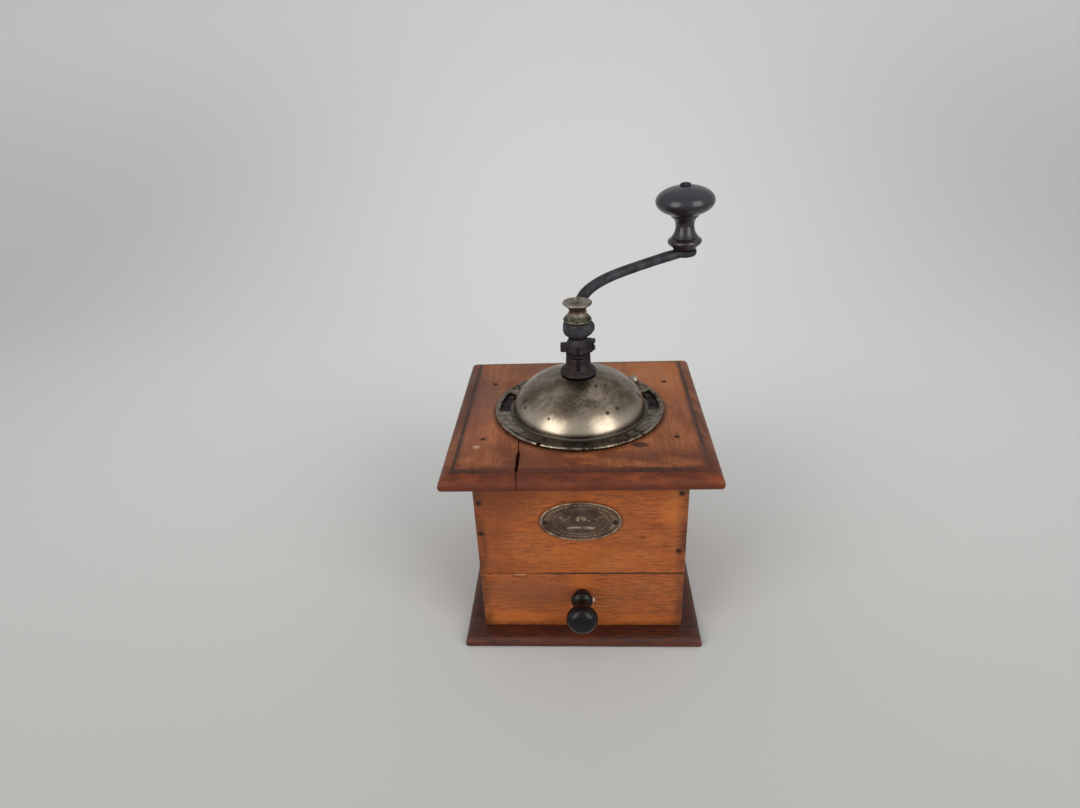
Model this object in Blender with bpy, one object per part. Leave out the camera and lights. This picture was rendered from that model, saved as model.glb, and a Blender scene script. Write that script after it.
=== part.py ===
"""Hand crank coffee grinder: a wooden box mill with a nickel dome, drawer and crank.

Metres, +Z up. The origin is the centre of the base board's underside; the drawer opens
towards -Y and the crank is parked at the back right.
"""
import math

import bmesh
import bpy
from mathutils import Matrix, Vector

MM = 0.001
GAP = 0.3 * MM             # clearance between touching pieces

# Facets round a full turn
LARGE = 36
MEDIUM = 24
STACK = 20                 # the crank's hub, finial and knob
SMALL = 16
TINY = 8

# Case
BOX = 118.5 * MM           # outer width and depth of the box
WALL = 9.0 * MM            # thickness of its boards
BASE = 141.0 * MM          # base board, square
BASE_TOP = 6.7 * MM
TOP = 150.0 * MM           # top board, square
TOP_UNDER = 115.3 * MM
TOP_FACE = 125.0 * MM
SEAM = 47.7 * MM           # height of the joint between drawer front and front panel
HALF = BOX / 2
INNER = HALF - WALL        # half the inside width of the box

# Drawer
DRAWER_WALL = 5.0 * MM
DRAWER_HEIGHT = 34.0 * MM
DRAWER_SIDE_PLAY = 0.6 * MM
DRAWER_BACK_Y = 46.0 * MM
KNOB_Z = 32.0 * MM

# Hopper, dome and brim
DOME_Z = 125.7 * MM        # height at which the dome's ellipse has its widest radius
DOME_R = 39.5 * MM
DOME_H = 24.2 * MM
SHEET = 1.0 * MM
DOOR_GAP = 0.4 * MM
BRIM_Z = 126.1 * MM
BRIM_R = 50.5 * MM
NECK_R = 6.0 * MM          # upright tube of the yoke
SPINDLE_BORE = 4.6 * MM
FLANGE_R = 43.0 * MM
HOPPER_HOLE_R = 40.3 * MM
OPENING = (33.0, 147.0)    # filling opening in the dome, degrees from +X
DOOR_SECTOR = (29.0, 151.0)
BUTTON_AZIMUTH = 37.5
BUTTON_R = 43.5 * MM
BUTTON_Z = 131.0 * MM
WINDOW = (-6.0, 25.0)      # window in the brim over the right ear of the yoke
EAR_SCREW = Vector((45.2, 5.0, 0)) * MM
BRIM_SCREW_Y = 45.6 * MM

# Mill
MILL_R = 23.5 * MM
MILL_BOTTOM = 66.0 * MM
THROAT_TOP = 92.0 * MM
BURR_TOP = 83.7 * MM

# Spindle stack, heights above the floor
COLLAR_TOP = 160.2 * MM
WASHER_TOP = 162.0 * MM
NUT_TOP = 171.4 * MM
HUB_BOTTOM = 172.9 * MM
HUB_TOP = 181.6 * MM
SPINDLE_TOP = 189.3 * MM
SQUARE = 3.0 * MM          # half the width of the spindle's square parts

# Crank
KNOB_X = 64.8 * MM         # where the knob's axis passes the top of the eye
KNOB_Y = 46.0 * MM
KNOB_LEAN = 2.0            # degrees, the worn knob leans in towards the spindle
EYE_BOTTOM = 203.9 * MM
EYE_TOP = 208.2 * MM
PIN_R = 2.2 * MM


def clear_scene():
    for item in list(bpy.data.objects):
        bpy.data.objects.remove(item, do_unlink=True)


def material(name, colour, roughness, metallic=0.0):
    made = bpy.data.materials.new(name)
    made.use_nodes = True
    shader = made.node_tree.nodes["Principled BSDF"]
    shader.inputs["Base Color"].default_value = (*colour, 1.0)
    shader.inputs["Roughness"].default_value = roughness
    shader.inputs["Metallic"].default_value = metallic
    made.diffuse_color = (*colour, 1.0)
    return made


def make_object(name, mesh_data, finish, smooth=True):
    """Link one piece, with its outward normals made consistent."""
    bmesh.ops.recalc_face_normals(mesh_data, faces=mesh_data.faces)
    mesh = bpy.data.meshes.new(name)
    mesh_data.to_mesh(mesh)
    mesh_data.free()
    piece = bpy.data.objects.new(name, mesh)
    bpy.context.scene.collection.objects.link(piece)
    if finish is not None:
        mesh.materials.append(finish)
    if smooth:
        mesh.shade_smooth()
        mesh.set_sharp_from_angle(angle=math.radians(35))
    return piece


def skin(loops, ring=False):
    """Faces between successive loops of equal length; the ends are capped, or joined as a ring."""
    work = bmesh.new()
    rows = [[work.verts.new(point) for point in loop] for loop in loops]
    pairs = list(zip(rows, rows[1:]))
    if ring:
        pairs.append((rows[-1], rows[0]))
    for low, high in pairs:
        count = len(low)
        for i in range(count):
            j = (i + 1) % count
            work.faces.new((low[i], low[j], high[j], high[i]))
    if not ring:
        work.faces.new(rows[0])
        work.faces.new(rows[-1])
    return work


def turned(outline, segments, place=None):
    """Solid of revolution about Z. Points with radius 0 are poles; otherwise it is a ring."""
    work = bmesh.new()
    rows = []
    for radius, height in outline:
        if radius == 0:
            rows.append([work.verts.new((0, 0, height))])
            continue
        row = []
        for k in range(segments):
            angle = 2 * math.pi * k / segments
            row.append(work.verts.new((radius * math.cos(angle), radius * math.sin(angle), height)))
        rows.append(row)
    pairs = list(zip(rows, rows[1:]))
    if len(rows[0]) > 1:
        pairs.append((rows[-1], rows[0]))
    for low, high in pairs:
        for k in range(segments):
            n = (k + 1) % segments
            if len(low) == 1:
                work.faces.new((low[0], high[n], high[k]))
            elif len(high) == 1:
                work.faces.new((low[k], low[n], high[0]))
            else:
                work.faces.new((low[k], low[n], high[n], high[k]))
    if place is not None:
        work.transform(place)
    return work


def box_mesh(low, high, bevel=0.0):
    work = bmesh.new()
    size = Vector(high) - Vector(low)
    middle = (Vector(high) + Vector(low)) / 2
    bmesh.ops.create_cube(work, size=1.0, matrix=Matrix.Translation(middle) @ Matrix.Diagonal((*size, 1)))
    if bevel:
        bmesh.ops.bevel(work, geom=work.edges[:], offset=bevel, segments=1, affect="EDGES")
    return work


def sector_mesh(inner, outer, start, end, low, high, steps=24):
    """Part of a flat ring: inner and outer radius, start and end in degrees, low and high in Z."""
    loops = []
    for k in range(steps + 1):
        angle = math.radians(start + (end - start) * k / steps)
        c, s = math.cos(angle), math.sin(angle)
        loops.append([(inner * c, inner * s, low), (outer * c, outer * s, low),
                      (outer * c, outer * s, high), (inner * c, inner * s, high)])
    return skin(loops)


def plate_mesh(outline, low, high):
    """A flat outline in XY, extruded from low to high."""
    return skin([[(x, y, low) for x, y in outline], [(x, y, high) for x, y in outline]])


def merge(meshes):
    """Several separate closed shells in one mesh, for use as one cutter."""
    whole = bmesh.new()
    for work in meshes:
        scrap = bpy.data.meshes.new("scrap")
        work.to_mesh(scrap)
        work.free()
        whole.from_mesh(scrap)
        bpy.data.meshes.remove(scrap)
    return whole


def boolean(piece, operation, meshes, label):
    tool = make_object(piece.name + label, merge(meshes), None, smooth=False)
    tool.hide_render = True
    tool.display_type = "WIRE"
    change = piece.modifiers.new(label.strip("_"), "BOOLEAN")
    change.operation = operation
    change.solver = "EXACT"
    change.object = tool


def cut(piece, meshes, label="_cutter"):
    boolean(piece, "DIFFERENCE", meshes, label)


def unite(piece, meshes, label="_joined"):
    for number, work in enumerate(meshes):
        boolean(piece, "UNION", [work], f"{label}{number}")


def aim(point, direction):
    """Placement that turns +Z into the direction, at the point."""
    turn = Vector(direction).normalized().to_track_quat("Z", "Y").to_matrix().to_4x4()
    return Matrix.Translation(Vector(point)) @ turn


def arc_points(centre, radius, start, end, steps):
    """Points of an arc in the radius-height plane, angles in degrees from outward."""
    points = []
    for k in range(steps + 1):
        angle = math.radians(start + (end - start) * k / steps)
        points.append((centre[0] + radius * math.cos(angle), centre[1] + radius * math.sin(angle)))
    return points


# Finishes

OAK = material("front_wood", (0.42, 0.17, 0.055), 0.45)
CHERRY = material("top_wood", (0.33, 0.12, 0.05), 0.42)
ROSEWOOD = material("base_wood", (0.11, 0.035, 0.025), 0.4)
PLAIN_WOOD = material("drawer_wood", (0.48, 0.30, 0.15), 0.6)
NICKEL = material("dome_nickel", (0.42, 0.40, 0.35), 0.32, 1.0)
OLD_IRON = material("rusty_iron", (0.06, 0.045, 0.04), 0.6, 0.8)
BLUE_IRON = material("crank_iron", (0.055, 0.058, 0.068), 0.45, 0.8)
CAST_IRON = material("cast_iron", (0.10, 0.10, 0.10), 0.65, 0.7)
BURR_STEEL = material("burr_steel", (0.32, 0.32, 0.33), 0.4, 1.0)
BRASS = material("finial_brass", (0.36, 0.32, 0.24), 0.38, 1.0)
PLATE_METAL = material("plate_metal", (0.33, 0.29, 0.22), 0.42, 1.0)
BLACK_WOOD = material("knob_black", (0.02, 0.014, 0.014), 0.22)
STEEL = material("fastener_steel", (0.22, 0.19, 0.17), 0.5, 0.9)


# Fasteners

def nail_outline(length, shank, head, grow=0.0):
    """Flat-headed wire nail lying along -Z from its head's face at height 0."""
    depth = 1.0 * MM
    return [(0, 0), (head + grow, 0), (head + grow, -depth - grow), (shank + grow, -depth - grow),
            (shank + grow, -length - grow), (0, -length - grow)]


def screw_outline(length, shank, head, grow=0.0):
    """Countersunk screw lying along -Z from its head's face at height 0."""
    depth = 1.6 * MM
    rim = 0.4 * MM
    return [(0, 0), (head + grow, 0), (head + grow, -rim), (shank + grow, -depth - grow),
            (shank + grow, -length - grow), (0, -length - grow)]


def open_hole(outline):
    """The same outline carried out past the surface, so that it cuts cleanly through it."""
    rise = 3.0 * MM
    lifted = [(0, rise), (outline[1][0], rise)]
    return lifted + outline[2:]


class Fastener:
    """A nail or screw, with the hole that its neighbours need for it."""

    def __init__(self, name, kind, point, direction, length, shank, head):
        self.name = name
        self.kind = kind
        self.place = aim(point, direction)
        self.sizes = (length, shank, head)

    def hole(self):
        shape = screw_outline if self.kind == "screw" else nail_outline
        return turned(open_hole(shape(*self.sizes, grow=GAP)), TINY, self.place)

    def build(self, finish=None):
        shape = screw_outline if self.kind == "screw" else nail_outline
        piece = make_object(self.name, turned(shape(*self.sizes), TINY, self.place), finish or STEEL)
        if self.kind == "screw":
            wide, narrow, deep = self.sizes[2] * 1.1, 0.35 * MM, 0.7 * MM
            slot = box_mesh((-wide, -narrow, -deep), (wide, narrow, deep))
            slot.transform(self.place)
            cut(piece, [slot], "_slot")
        return piece


def case_fasteners():
    nails = {"front_panel": [], "back_board": [], "top_board": []}
    front = [(-56.4, 98.0), (-56.6, 77.0), (55.2, 103.5), (55.2, 64.0)]
    for number, (x, z) in enumerate(front, 1):
        nails["front_panel"].append(Fastener(f"front_panel_nail_{number}", "nail", (x * MM, -HALF, z * MM),
                                             (0, -1, 0), 20 * MM, 0.7 * MM, 1.2 * MM))
    number = 0
    for x in (-54.6, 54.6):
        for z in (30.0, 96.0):
            number += 1
            nails["back_board"].append(Fastener(f"back_board_nail_{number}", "nail", (x * MM, HALF, z * MM),
                                                (0, 1, 0), 20 * MM, 0.7 * MM, 1.2 * MM))
    number = 0
    for x in (-54.4, 54.4):
        for y in (-35.0, 35.0):
            number += 1
            nails["top_board"].append(Fastener(f"top_board_nail_{number}", "nail",
                                               (x * MM, y * MM, TOP_FACE - 0.2 * MM),
                                               (0, 0, 1), 22 * MM, 0.7 * MM, 1.2 * MM))
    screws = []
    number = 0
    for x in (-54.75, 54.75):
        for y in (-34.0, 34.0):
            number += 1
            screws.append(Fastener(f"base_screw_{number}", "screw", (x * MM, y * MM, 0.4 * MM), (0, 0, -1),
                                   20 * MM, 1.5 * MM, 3.0 * MM))
    return nails, screws


# Case

def square_loop(half, height):
    return [(-half, -half, height), (half, -half, height), (half, half, height), (-half, half, height)]


def base_board(screws):
    half = BASE / 2
    edge = [(half - 0.9 * MM, 0), (half, 1.0 * MM), (half, 3.8 * MM), (half - 0.9 * MM, 5.3 * MM),
            (half - 2.8 * MM, 6.4 * MM), (half - 4.6 * MM, BASE_TOP)]
    piece = make_object("base_board", skin([square_loop(*step) for step in edge]), ROSEWOOD)
    cut(piece, [screw.hole() for screw in screws])


def side_boards(nails, screws):
    for name, sign in (("left_side_board", -1), ("right_side_board", 1)):
        inner, outer = sorted((sign * INNER, sign * HALF))
        low = (inner, -INNER + GAP, BASE_TOP + GAP)
        high = (outer, INNER - GAP, TOP_UNDER - GAP)
        piece = make_object(name, box_mesh(low, high), OAK, smooth=False)
        held = [item for group in nails.values() for item in group] + screws
        cut(piece, [item.hole() for item in held if item.place.translation.x * sign > 0])


def front_and_back(nails):
    spans = (("front_panel", -HALF, -INNER, SEAM + GAP, OAK),
             ("back_board", INNER, HALF, BASE_TOP + GAP, OAK))
    for name, near, far, bottom, finish in spans:
        piece = make_object(name, box_mesh((-HALF, near, bottom), (HALF, far, TOP_UNDER - GAP)), finish,
                            smooth=False)
        cut(piece, [item.hole() for item in nails[name]])


def top_board(nails, screws):
    """Moulded board: flat field, small step, rounded slope and nose, open for the hopper."""
    half = TOP / 2
    edge = [(half - 2.2 * MM, TOP_UNDER), (half - 0.5 * MM, TOP_UNDER + 1.4 * MM),
            (half, TOP_UNDER + 3.4 * MM), (half - 0.6 * MM, TOP_UNDER + 5.4 * MM),
            (half - 2.4 * MM, TOP_UNDER + 7.1 * MM), (half - 4.8 * MM, TOP_UNDER + 8.2 * MM),
            (half - 7.6 * MM, TOP_UNDER + 8.7 * MM), (half - 8.0 * MM, TOP_FACE)]
    piece = make_object("top_board", skin([square_loop(*step) for step in edge]), CHERRY)
    above = TOP_FACE + 2 * MM
    rebate = FLANGE_R + 0.4 * MM
    well = [(0, above), (rebate, above), (rebate, TOP_FACE - 5.0 * MM), (HOPPER_HOLE_R, TOP_FACE - 5.0 * MM),
            (HOPPER_HOLE_R, TOP_UNDER - 2 * MM), (0, TOP_UNDER - 2 * MM)]
    cut(piece, [turned(well, LARGE)], "_well")
    grooves = []
    for sign in (-1, 1):
        near, far = sorted((sign * 40.0 * MM, sign * 49.7 * MM))
        grooves.append(box_mesh((near, -3.4 * MM, 121.9 * MM), (far, 13.4 * MM, above)))
    cut(piece, grooves, "_grooves")
    cut(piece, [item.hole() for item in nails["top_board"] + screws], "_holes")


def kicker_strips():
    """Strips on the side boards that keep the drawer from tipping as it is pulled out."""
    for name, sign in (("left_drawer_guide", -1), ("right_drawer_guide", 1)):
        near, far = sorted((sign * (INNER - GAP), sign * (INNER - 7.0 * MM)))
        make_object(name, box_mesh((near, -47 * MM, 43.6 * MM), (far, 47 * MM, 49.0 * MM), 0.4 * MM),
                    PLAIN_WOOD, smooth=False)


def drawer():
    outer = INNER - DRAWER_SIDE_PLAY
    inner = outer - DRAWER_WALL
    bottom = BASE_TOP + 0.6 * MM
    floor = bottom + 3.0 * MM
    top = bottom + DRAWER_HEIGHT
    front_in = -INNER
    back_in = DRAWER_BACK_Y - DRAWER_WALL
    knob_screw = Fastener("drawer_knob_screw", "screw", (0, front_in, KNOB_Z), (0, 1, 0),
                          21 * MM, 1.6 * MM, 3.4 * MM)
    front = make_object("drawer_front",
                        box_mesh((-HALF, -HALF, BASE_TOP + 0.4 * MM), (HALF, front_in, SEAM - GAP)),
                        OAK, smooth=False)
    cut(front, [knob_screw.hole()])
    knob_screw.build()
    for name, sign in (("drawer_left_side", -1), ("drawer_right_side", 1)):
        near, far = sorted((sign * inner, sign * outer))
        make_object(name, box_mesh((near, front_in + GAP, bottom), (far, DRAWER_BACK_Y, top)), PLAIN_WOOD,
                    smooth=False)
    make_object("drawer_back",
                box_mesh((-inner + GAP, back_in, bottom), (inner - GAP, DRAWER_BACK_Y, top - 2 * MM)),
                PLAIN_WOOD, smooth=False)
    make_object("drawer_bottom",
                box_mesh((-inner + GAP, front_in + GAP, bottom), (inner - GAP, back_in - GAP, floor)),
                PLAIN_WOOD, smooth=False)
    bore = 1.6 * MM + GAP
    head = arc_points((3.2 * MM, 20.0 * MM), 5.8 * MM, -62, 62, 6)
    outline = [(0, 13.0 * MM), (bore, 13.0 * MM), (bore, GAP), (4.6 * MM, GAP), (4.7 * MM, 1.6 * MM)]
    outline += arc_points((3.6 * MM, 5.2 * MM), 2.9 * MM, -70, 70, 5)
    outline += [(3.7 * MM, 9.6 * MM), (3.9 * MM, 12.4 * MM)] + head + [(0, 25.6 * MM)]
    make_object("drawer_knob", turned(outline, SMALL, aim((0, -HALF, KNOB_Z), (0, -1, 0))), BLACK_WOOD)


def name_plate():
    """Oval plate with a raised rim, held by two pins."""
    middle = 85.7 * MM
    face = -HALF - GAP

    def oval(half_width, half_height, depth):
        count = LARGE
        points = []
        for k in range(count):
            angle = 2 * math.pi * k / count
            points.append((half_width * math.cos(angle), face - depth,
                           middle + half_height * math.sin(angle)))
        return points

    steps = [(22.8, 12.8, 0.0), (23.0, 13.0, 0.4), (22.6, 12.6, 1.1), (21.8, 11.8, 1.1), (21.4, 11.4, 0.7)]
    plate = make_object("name_plate", skin([oval(a * MM, b * MM, d * MM) for a, b, d in steps]), PLATE_METAL)
    pins = []
    for side, x in (("left", -19.3), ("right", 19.3)):
        pins.append(Fastener(f"name_plate_pin_{side}", "nail", (x * MM, face - 1.8 * MM, middle - 0.6 * MM),
                             (0, -1, 0), 9 * MM, 0.45 * MM, 0.9 * MM))
    cut(plate, [pin.hole() for pin in pins])
    cut(bpy.data.objects["front_panel"], [pin.hole() for pin in pins], "_pin_holes")
    for pin in pins:
        pin.build(PLATE_METAL)


# Hopper and dome

def dome_point(radius, height, angle):
    return (radius * math.cos(angle), DOME_Z + height * math.sin(angle))


def dome_curve(inset, low_angle, top_radius, steps):
    """Ellipse of the dome moved inward by inset, from near its foot up to the neck hole."""
    radius, height = DOME_R - inset, DOME_H - inset
    top_angle = math.acos(top_radius / radius)
    return [dome_point(radius, height, low_angle + (top_angle - low_angle) * k / steps)
            for k in range(steps + 1)]


def dome_cover():
    under = TOP_FACE + GAP
    outer = dome_curve(0, math.radians(2.0), NECK_R + GAP, 8)
    inner = dome_curve(SHEET, math.radians(0.5), NECK_R + GAP, 8)
    rim = [(41.0 * MM, BRIM_Z - 0.1 * MM), (48.2 * MM, BRIM_Z), (48.8 * MM, BRIM_Z + 0.9 * MM),
           (49.6 * MM, BRIM_Z + 1.2 * MM), (BRIM_R, BRIM_Z + 0.5 * MM), (BRIM_R - 0.1 * MM, under),
           (DOME_R - SHEET, under)]
    outline = list(reversed(outer)) + rim + inner[1:]
    piece = make_object("dome_cover", turned(outline, LARGE), NICKEL)
    cut(piece, [sector_mesh(30 * MM, 50 * MM, *OPENING, 128.2 * MM, 143.6 * MM, 12)], "_opening")
    low, high = 124 * MM, 128 * MM
    left = (180 - WINDOW[1], 180 - WINDOW[0])
    windows = [sector_mesh(41.4 * MM, 47.9 * MM, *span, low, high, 4) for span in (WINDOW, left)]
    cut(piece, windows, "_windows")
    holes = [screw.hole() for screw in BRIM_SCREWS]
    cut(piece, holes, "_screw_holes")


def dome_door():
    """Inner quarter shell that turns about the neck, closing the filling opening."""
    outer = dome_curve(SHEET + DOOR_GAP, math.radians(3.0), NECK_R + 2 * GAP, 7)
    inner = dome_curve(SHEET + DOOR_GAP + 0.9 * MM, math.radians(3.0), NECK_R + 2 * GAP, 7)
    piece = make_object("dome_door", turned(list(reversed(outer)) + inner, LARGE), NICKEL)
    start, end = DOOR_SECTOR
    away = sector_mesh(13 * MM, 45 * MM, end, start + 360, 124 * MM, 152 * MM, 24)
    cut(piece, [away], "_sector")
    angle = math.radians(BUTTON_AZIMUTH)
    outward = Vector((math.cos(angle), math.sin(angle), 0))
    place = aim(outward * BUTTON_R + Vector((0, 0, BUTTON_Z)), outward)
    stem = 1.1 * MM
    hole = [(0, 4 * MM), (stem + 1.5 * GAP, 4 * MM), (stem + 1.5 * GAP, -12 * MM), (0, -12 * MM)]
    cut(piece, [turned(hole, TINY, place)], "_button_hole")
    ball = arc_points((0, 0), 2.75 * MM, 70, -64, 5)
    outline = [(0, 2.75 * MM)] + ball + [(stem, -3.0 * MM), (stem, -9.0 * MM), (2.0 * MM, -9.1 * MM),
                                         (2.0 * MM, -9.8 * MM), (0, -10.0 * MM)]
    make_object("door_button", turned(outline, 12, place), BRASS)


def mill_yoke():
    """Flat bar across the hopper with an upright tube for the spindle and two screwed ears."""
    low, high = 122.3 * MM, 124.8 * MM
    tab, bar = 41.0 * MM, 5.5 * MM
    end = 49.3 * MM
    right = [(30 * MM, -bar), (tab, -3.0 * MM), (end, -3.0 * MM), (end, 13.0 * MM), (tab, 13.0 * MM),
             (30 * MM, bar)]
    outline = right + [(-x, y) for x, y in reversed(right)]
    piece = make_object("mill_yoke", plate_mesh(outline, low, high), OLD_IRON)
    tube = [(0, low - 1 * MM), (9 * MM, low - 1 * MM), (9 * MM, high + 1 * MM), (NECK_R, high + 4 * MM),
            (NECK_R, COLLAR_TOP - 0.4 * MM), (0, COLLAR_TOP - 0.4 * MM)]
    unite(piece, [turned(tube, SMALL)])
    bore = [(0, 118 * MM), (SPINDLE_BORE, 118 * MM), (SPINDLE_BORE, 165 * MM), (0, 165 * MM)]
    cut(piece, [turned(bore, SMALL)], "_bore")
    cut(piece, [screw.hole() for screw in EAR_SCREWS], "_screw_holes")


def neck_collar():
    """Split nut on the neck that clamps the dome down on its foot."""
    bore = NECK_R + GAP
    foot = 10.9 * MM
    seat = DOME_Z + DOME_H * math.sqrt(1 - (bore / DOME_R) ** 2) + GAP
    drop = DOME_Z + DOME_H * math.sqrt(1 - (foot / DOME_R) ** 2) + GAP
    outline = [(bore, seat), (foot, drop), (foot + 0.2 * MM, drop + 1.4 * MM), (9.9 * MM, drop + 3.0 * MM),
               (8.0 * MM, drop + 4.6 * MM), (7.4 * MM, drop + 6.4 * MM), (7.5 * MM, COLLAR_TOP - 0.8 * MM),
               (7.3 * MM, COLLAR_TOP), (bore, COLLAR_TOP)]
    piece = make_object("neck_collar", turned(outline, MEDIUM), OLD_IRON)
    cut(piece, [box_mesh((-0.7 * MM, -9 * MM, 153.4 * MM), (0.7 * MM, -5 * MM, 163 * MM))], "_slot")


# Mill

def mill_housing():
    """Cast hopper funnel and throat, hanging from the top board by its flange."""
    flange = 122.0 * MM
    outline = [(FLANGE_R, flange), (FLANGE_R, flange - 1.7 * MM), (39.6 * MM, flange - 1.7 * MM),
               (38.0 * MM, 116.0 * MM), (MILL_R, THROAT_TOP), (MILL_R, MILL_BOTTOM),
               (17.9 * MM, MILL_BOTTOM), (17.9 * MM, BURR_TOP + GAP), (15.6 * MM, BURR_TOP + 2 * GAP),
               (16.0 * MM, THROAT_TOP), (35.6 * MM, 116.5 * MM), (38.6 * MM, flange)]
    piece = make_object("mill_housing", turned(outline, MEDIUM), CAST_IRON)
    cut(piece, [screw.hole() for screw in BRIDGE_SCREWS], "_screw_holes")


def outer_burr():
    """Fixed ring whose coarse inner teeth narrow towards the bottom."""
    teeth, per_tooth, rows = 14, 3, 3
    count = teeth * per_tooth
    low, high = MILL_BOTTOM + GAP, BURR_TOP
    loops = []
    for k in range(rows + 1):
        share = k / rows
        height = low + (high - low) * share
        middle = (13.3 + 2.4 * share) * MM
        loop = []
        for i in range(count):
            angle = 2 * math.pi * i / count + 0.25 * share
            bite = (0.6 if i % per_tooth == 0 else -0.2) * MM
            loop.append(((middle - bite) * math.cos(angle), (middle - bite) * math.sin(angle), height))
        loops.append(loop)
    for height, extra in ((high, 0.25), (low, 0.0)):
        loop = []
        for i in range(count):
            angle = 2 * math.pi * i / count + extra
            loop.append((17.6 * MM * math.cos(angle), 17.6 * MM * math.sin(angle), height))
        loops.append(loop)
    make_object("outer_burr_ring", skin(loops, ring=True), BURR_STEEL)


def inner_burr():
    """Cone on the spindle with helical cutting teeth, wider towards the bottom."""
    teeth, per_tooth, rows = 8, 4, 4
    count = teeth * per_tooth
    low, high = MILL_BOTTOM + 1.0 * MM, BURR_TOP - 0.5 * MM
    loops = []
    for k in range(rows + 1):
        share = k / rows
        height = low + (high - low) * share
        middle = (10.9 - 4.0 * share) * MM
        loop = []
        for i in range(count):
            angle = 2 * math.pi * i / count + 0.9 * share
            bite = (0.9, 0.3, -0.3, -0.5)[i % per_tooth] * MM
            loop.append(((middle + bite) * math.cos(angle), (middle + bite) * math.sin(angle), height))
        loops.append(loop)
    piece = make_object("inner_burr", skin(loops), BURR_STEEL)
    half = SQUARE + 0.2 * MM + GAP
    cut(piece, [box_mesh((-half, -half, low - 2 * MM), (half, half, high + 2 * MM))], "_square")


def lower_bridge():
    """Ring and cross bar under the burrs, with the bush for the foot of the spindle."""
    low, high = 61.6 * MM, MILL_BOTTOM - GAP
    ring = [(15.5 * MM, low), (MILL_R - 0.3 * MM, low), (MILL_R - 0.3 * MM, high), (15.5 * MM, high)]
    piece = make_object("lower_bridge", turned(ring, MEDIUM), CAST_IRON)
    bar = box_mesh((-17 * MM, -3.5 * MM, low + 0.4 * MM), (17 * MM, 3.5 * MM, high - 0.4 * MM))
    bush_low, bush_high = low - 2.5 * MM, high - 0.2 * MM
    bush = [(0, bush_low), (5.8 * MM, bush_low), (5.8 * MM, bush_high), (0, bush_high)]
    unite(piece, [bar, turned(bush, SMALL)])
    bore = [(0, low - 6 * MM), (3.3 * MM, low - 6 * MM), (3.3 * MM, high + 4 * MM), (0, high + 4 * MM)]
    cut(piece, [turned(bore, 12)], "_bore")
    cut(piece, [screw.hole() for screw in BRIDGE_SCREWS], "_screw_holes")


# Spindle, adjuster and crank

def section(half, height, square):
    """Points round the spindle, on a circle or on a square."""
    points = []
    for k in range(SMALL):
        angle = 2 * math.pi * k / SMALL
        c, s = math.cos(angle), math.sin(angle)
        reach = half / max(abs(c), abs(s)) if square else half
        points.append((reach * c, reach * s, height))
    return points


def spindle():
    """Turned rod with squares for the burr, the washer and the crank, threaded at the nuts."""
    burr_square = SQUARE + 0.2 * MM
    steps = [(2.4, 59.6, False), (3.0, 60.2, False), (3.0, 66.2, False), (None, 66.8, True),
             (None, 83.6, True), (3.8, 84.4, False), (3.8, 159.2, False), (SQUARE / MM, 159.8, True),
             (SQUARE / MM, 162.8, True), (4.1, 163.2, False), (4.1, 172.2, False),
             (SQUARE / MM, 172.6, True), (SQUARE / MM, 181.1, True), (2.9, 181.6, False),
             (2.9, SPINDLE_TOP / MM - 0.5, False), (2.4, SPINDLE_TOP / MM, False)]
    loops = []
    for half, height, square in steps:
        loops.append(section(burr_square if half is None else half * MM, height * MM, square))
    make_object("spindle", skin(loops), STEEL)


def thrust_washer():
    low = COLLAR_TOP + 0.5 * MM
    outline = [(0, low), (7.2 * MM, low), (7.2 * MM, WASHER_TOP), (0, WASHER_TOP)]
    piece = make_object("thrust_washer", turned(outline, SMALL), OLD_IRON)
    half = SQUARE + GAP
    cut(piece, [box_mesh((-half, -half, low - 2 * MM), (half, half, WASHER_TOP + 2 * MM))], "_square")


def wing_nut():
    """Grind adjuster: a round nut with one square ear and one rounded ear."""
    low = WASHER_TOP + GAP
    outline = [(0, low), (6.9 * MM, low), (7.3 * MM, low + 1.2 * MM), (7.0 * MM, low + 6.0 * MM),
               (5.8 * MM, NUT_TOP - 1.4 * MM), (5.5 * MM, NUT_TOP), (0, NUT_TOP)]
    piece = make_object("grind_adjuster_nut", turned(outline, SMALL), OLD_IRON)
    left = box_mesh((-10.4 * MM, -2.6 * MM, 162.7 * MM), (-4 * MM, 2.6 * MM, 168.0 * MM), 0.6 * MM)
    ear = [(4.5, 0), (8.0, 0), (9.0, 1.0), (9.5, 3.0), (9.5, 5.4), (8.8, 7.2), (7.2, 8.0), (4.5, 7.6)]
    right = skin([[(x * MM, y, 161.9 * MM + GAP + 0.3 * MM + z * MM) for x, z in ear]
                  for y in (-2.8 * MM, 2.8 * MM)])
    unite(piece, [left, right])
    bore = [(0, low - 2 * MM), (SPINDLE_BORE, low - 2 * MM), (SPINDLE_BORE, NUT_TOP + 2 * MM),
            (0, NUT_TOP + 2 * MM)]
    cut(piece, [turned(bore, SMALL)], "_bore")


def smooth_route(points, per_span):
    """Catmull-Rom curve through the points."""
    ends = [2 * points[0] - points[1]] + points + [2 * points[-1] - points[-2]]
    route = []
    for a, b, c, d in zip(ends, ends[1:], ends[2:], ends[3:]):
        for k in range(per_span):
            t = k / per_span
            route.append(0.5 * (2 * b + (c - a) * t + (2 * a - 5 * b + 4 * c - d) * t * t
                                + (3 * b - a - 3 * c + d) * t ** 3))
    route.append(points[-1])
    return route


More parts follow.
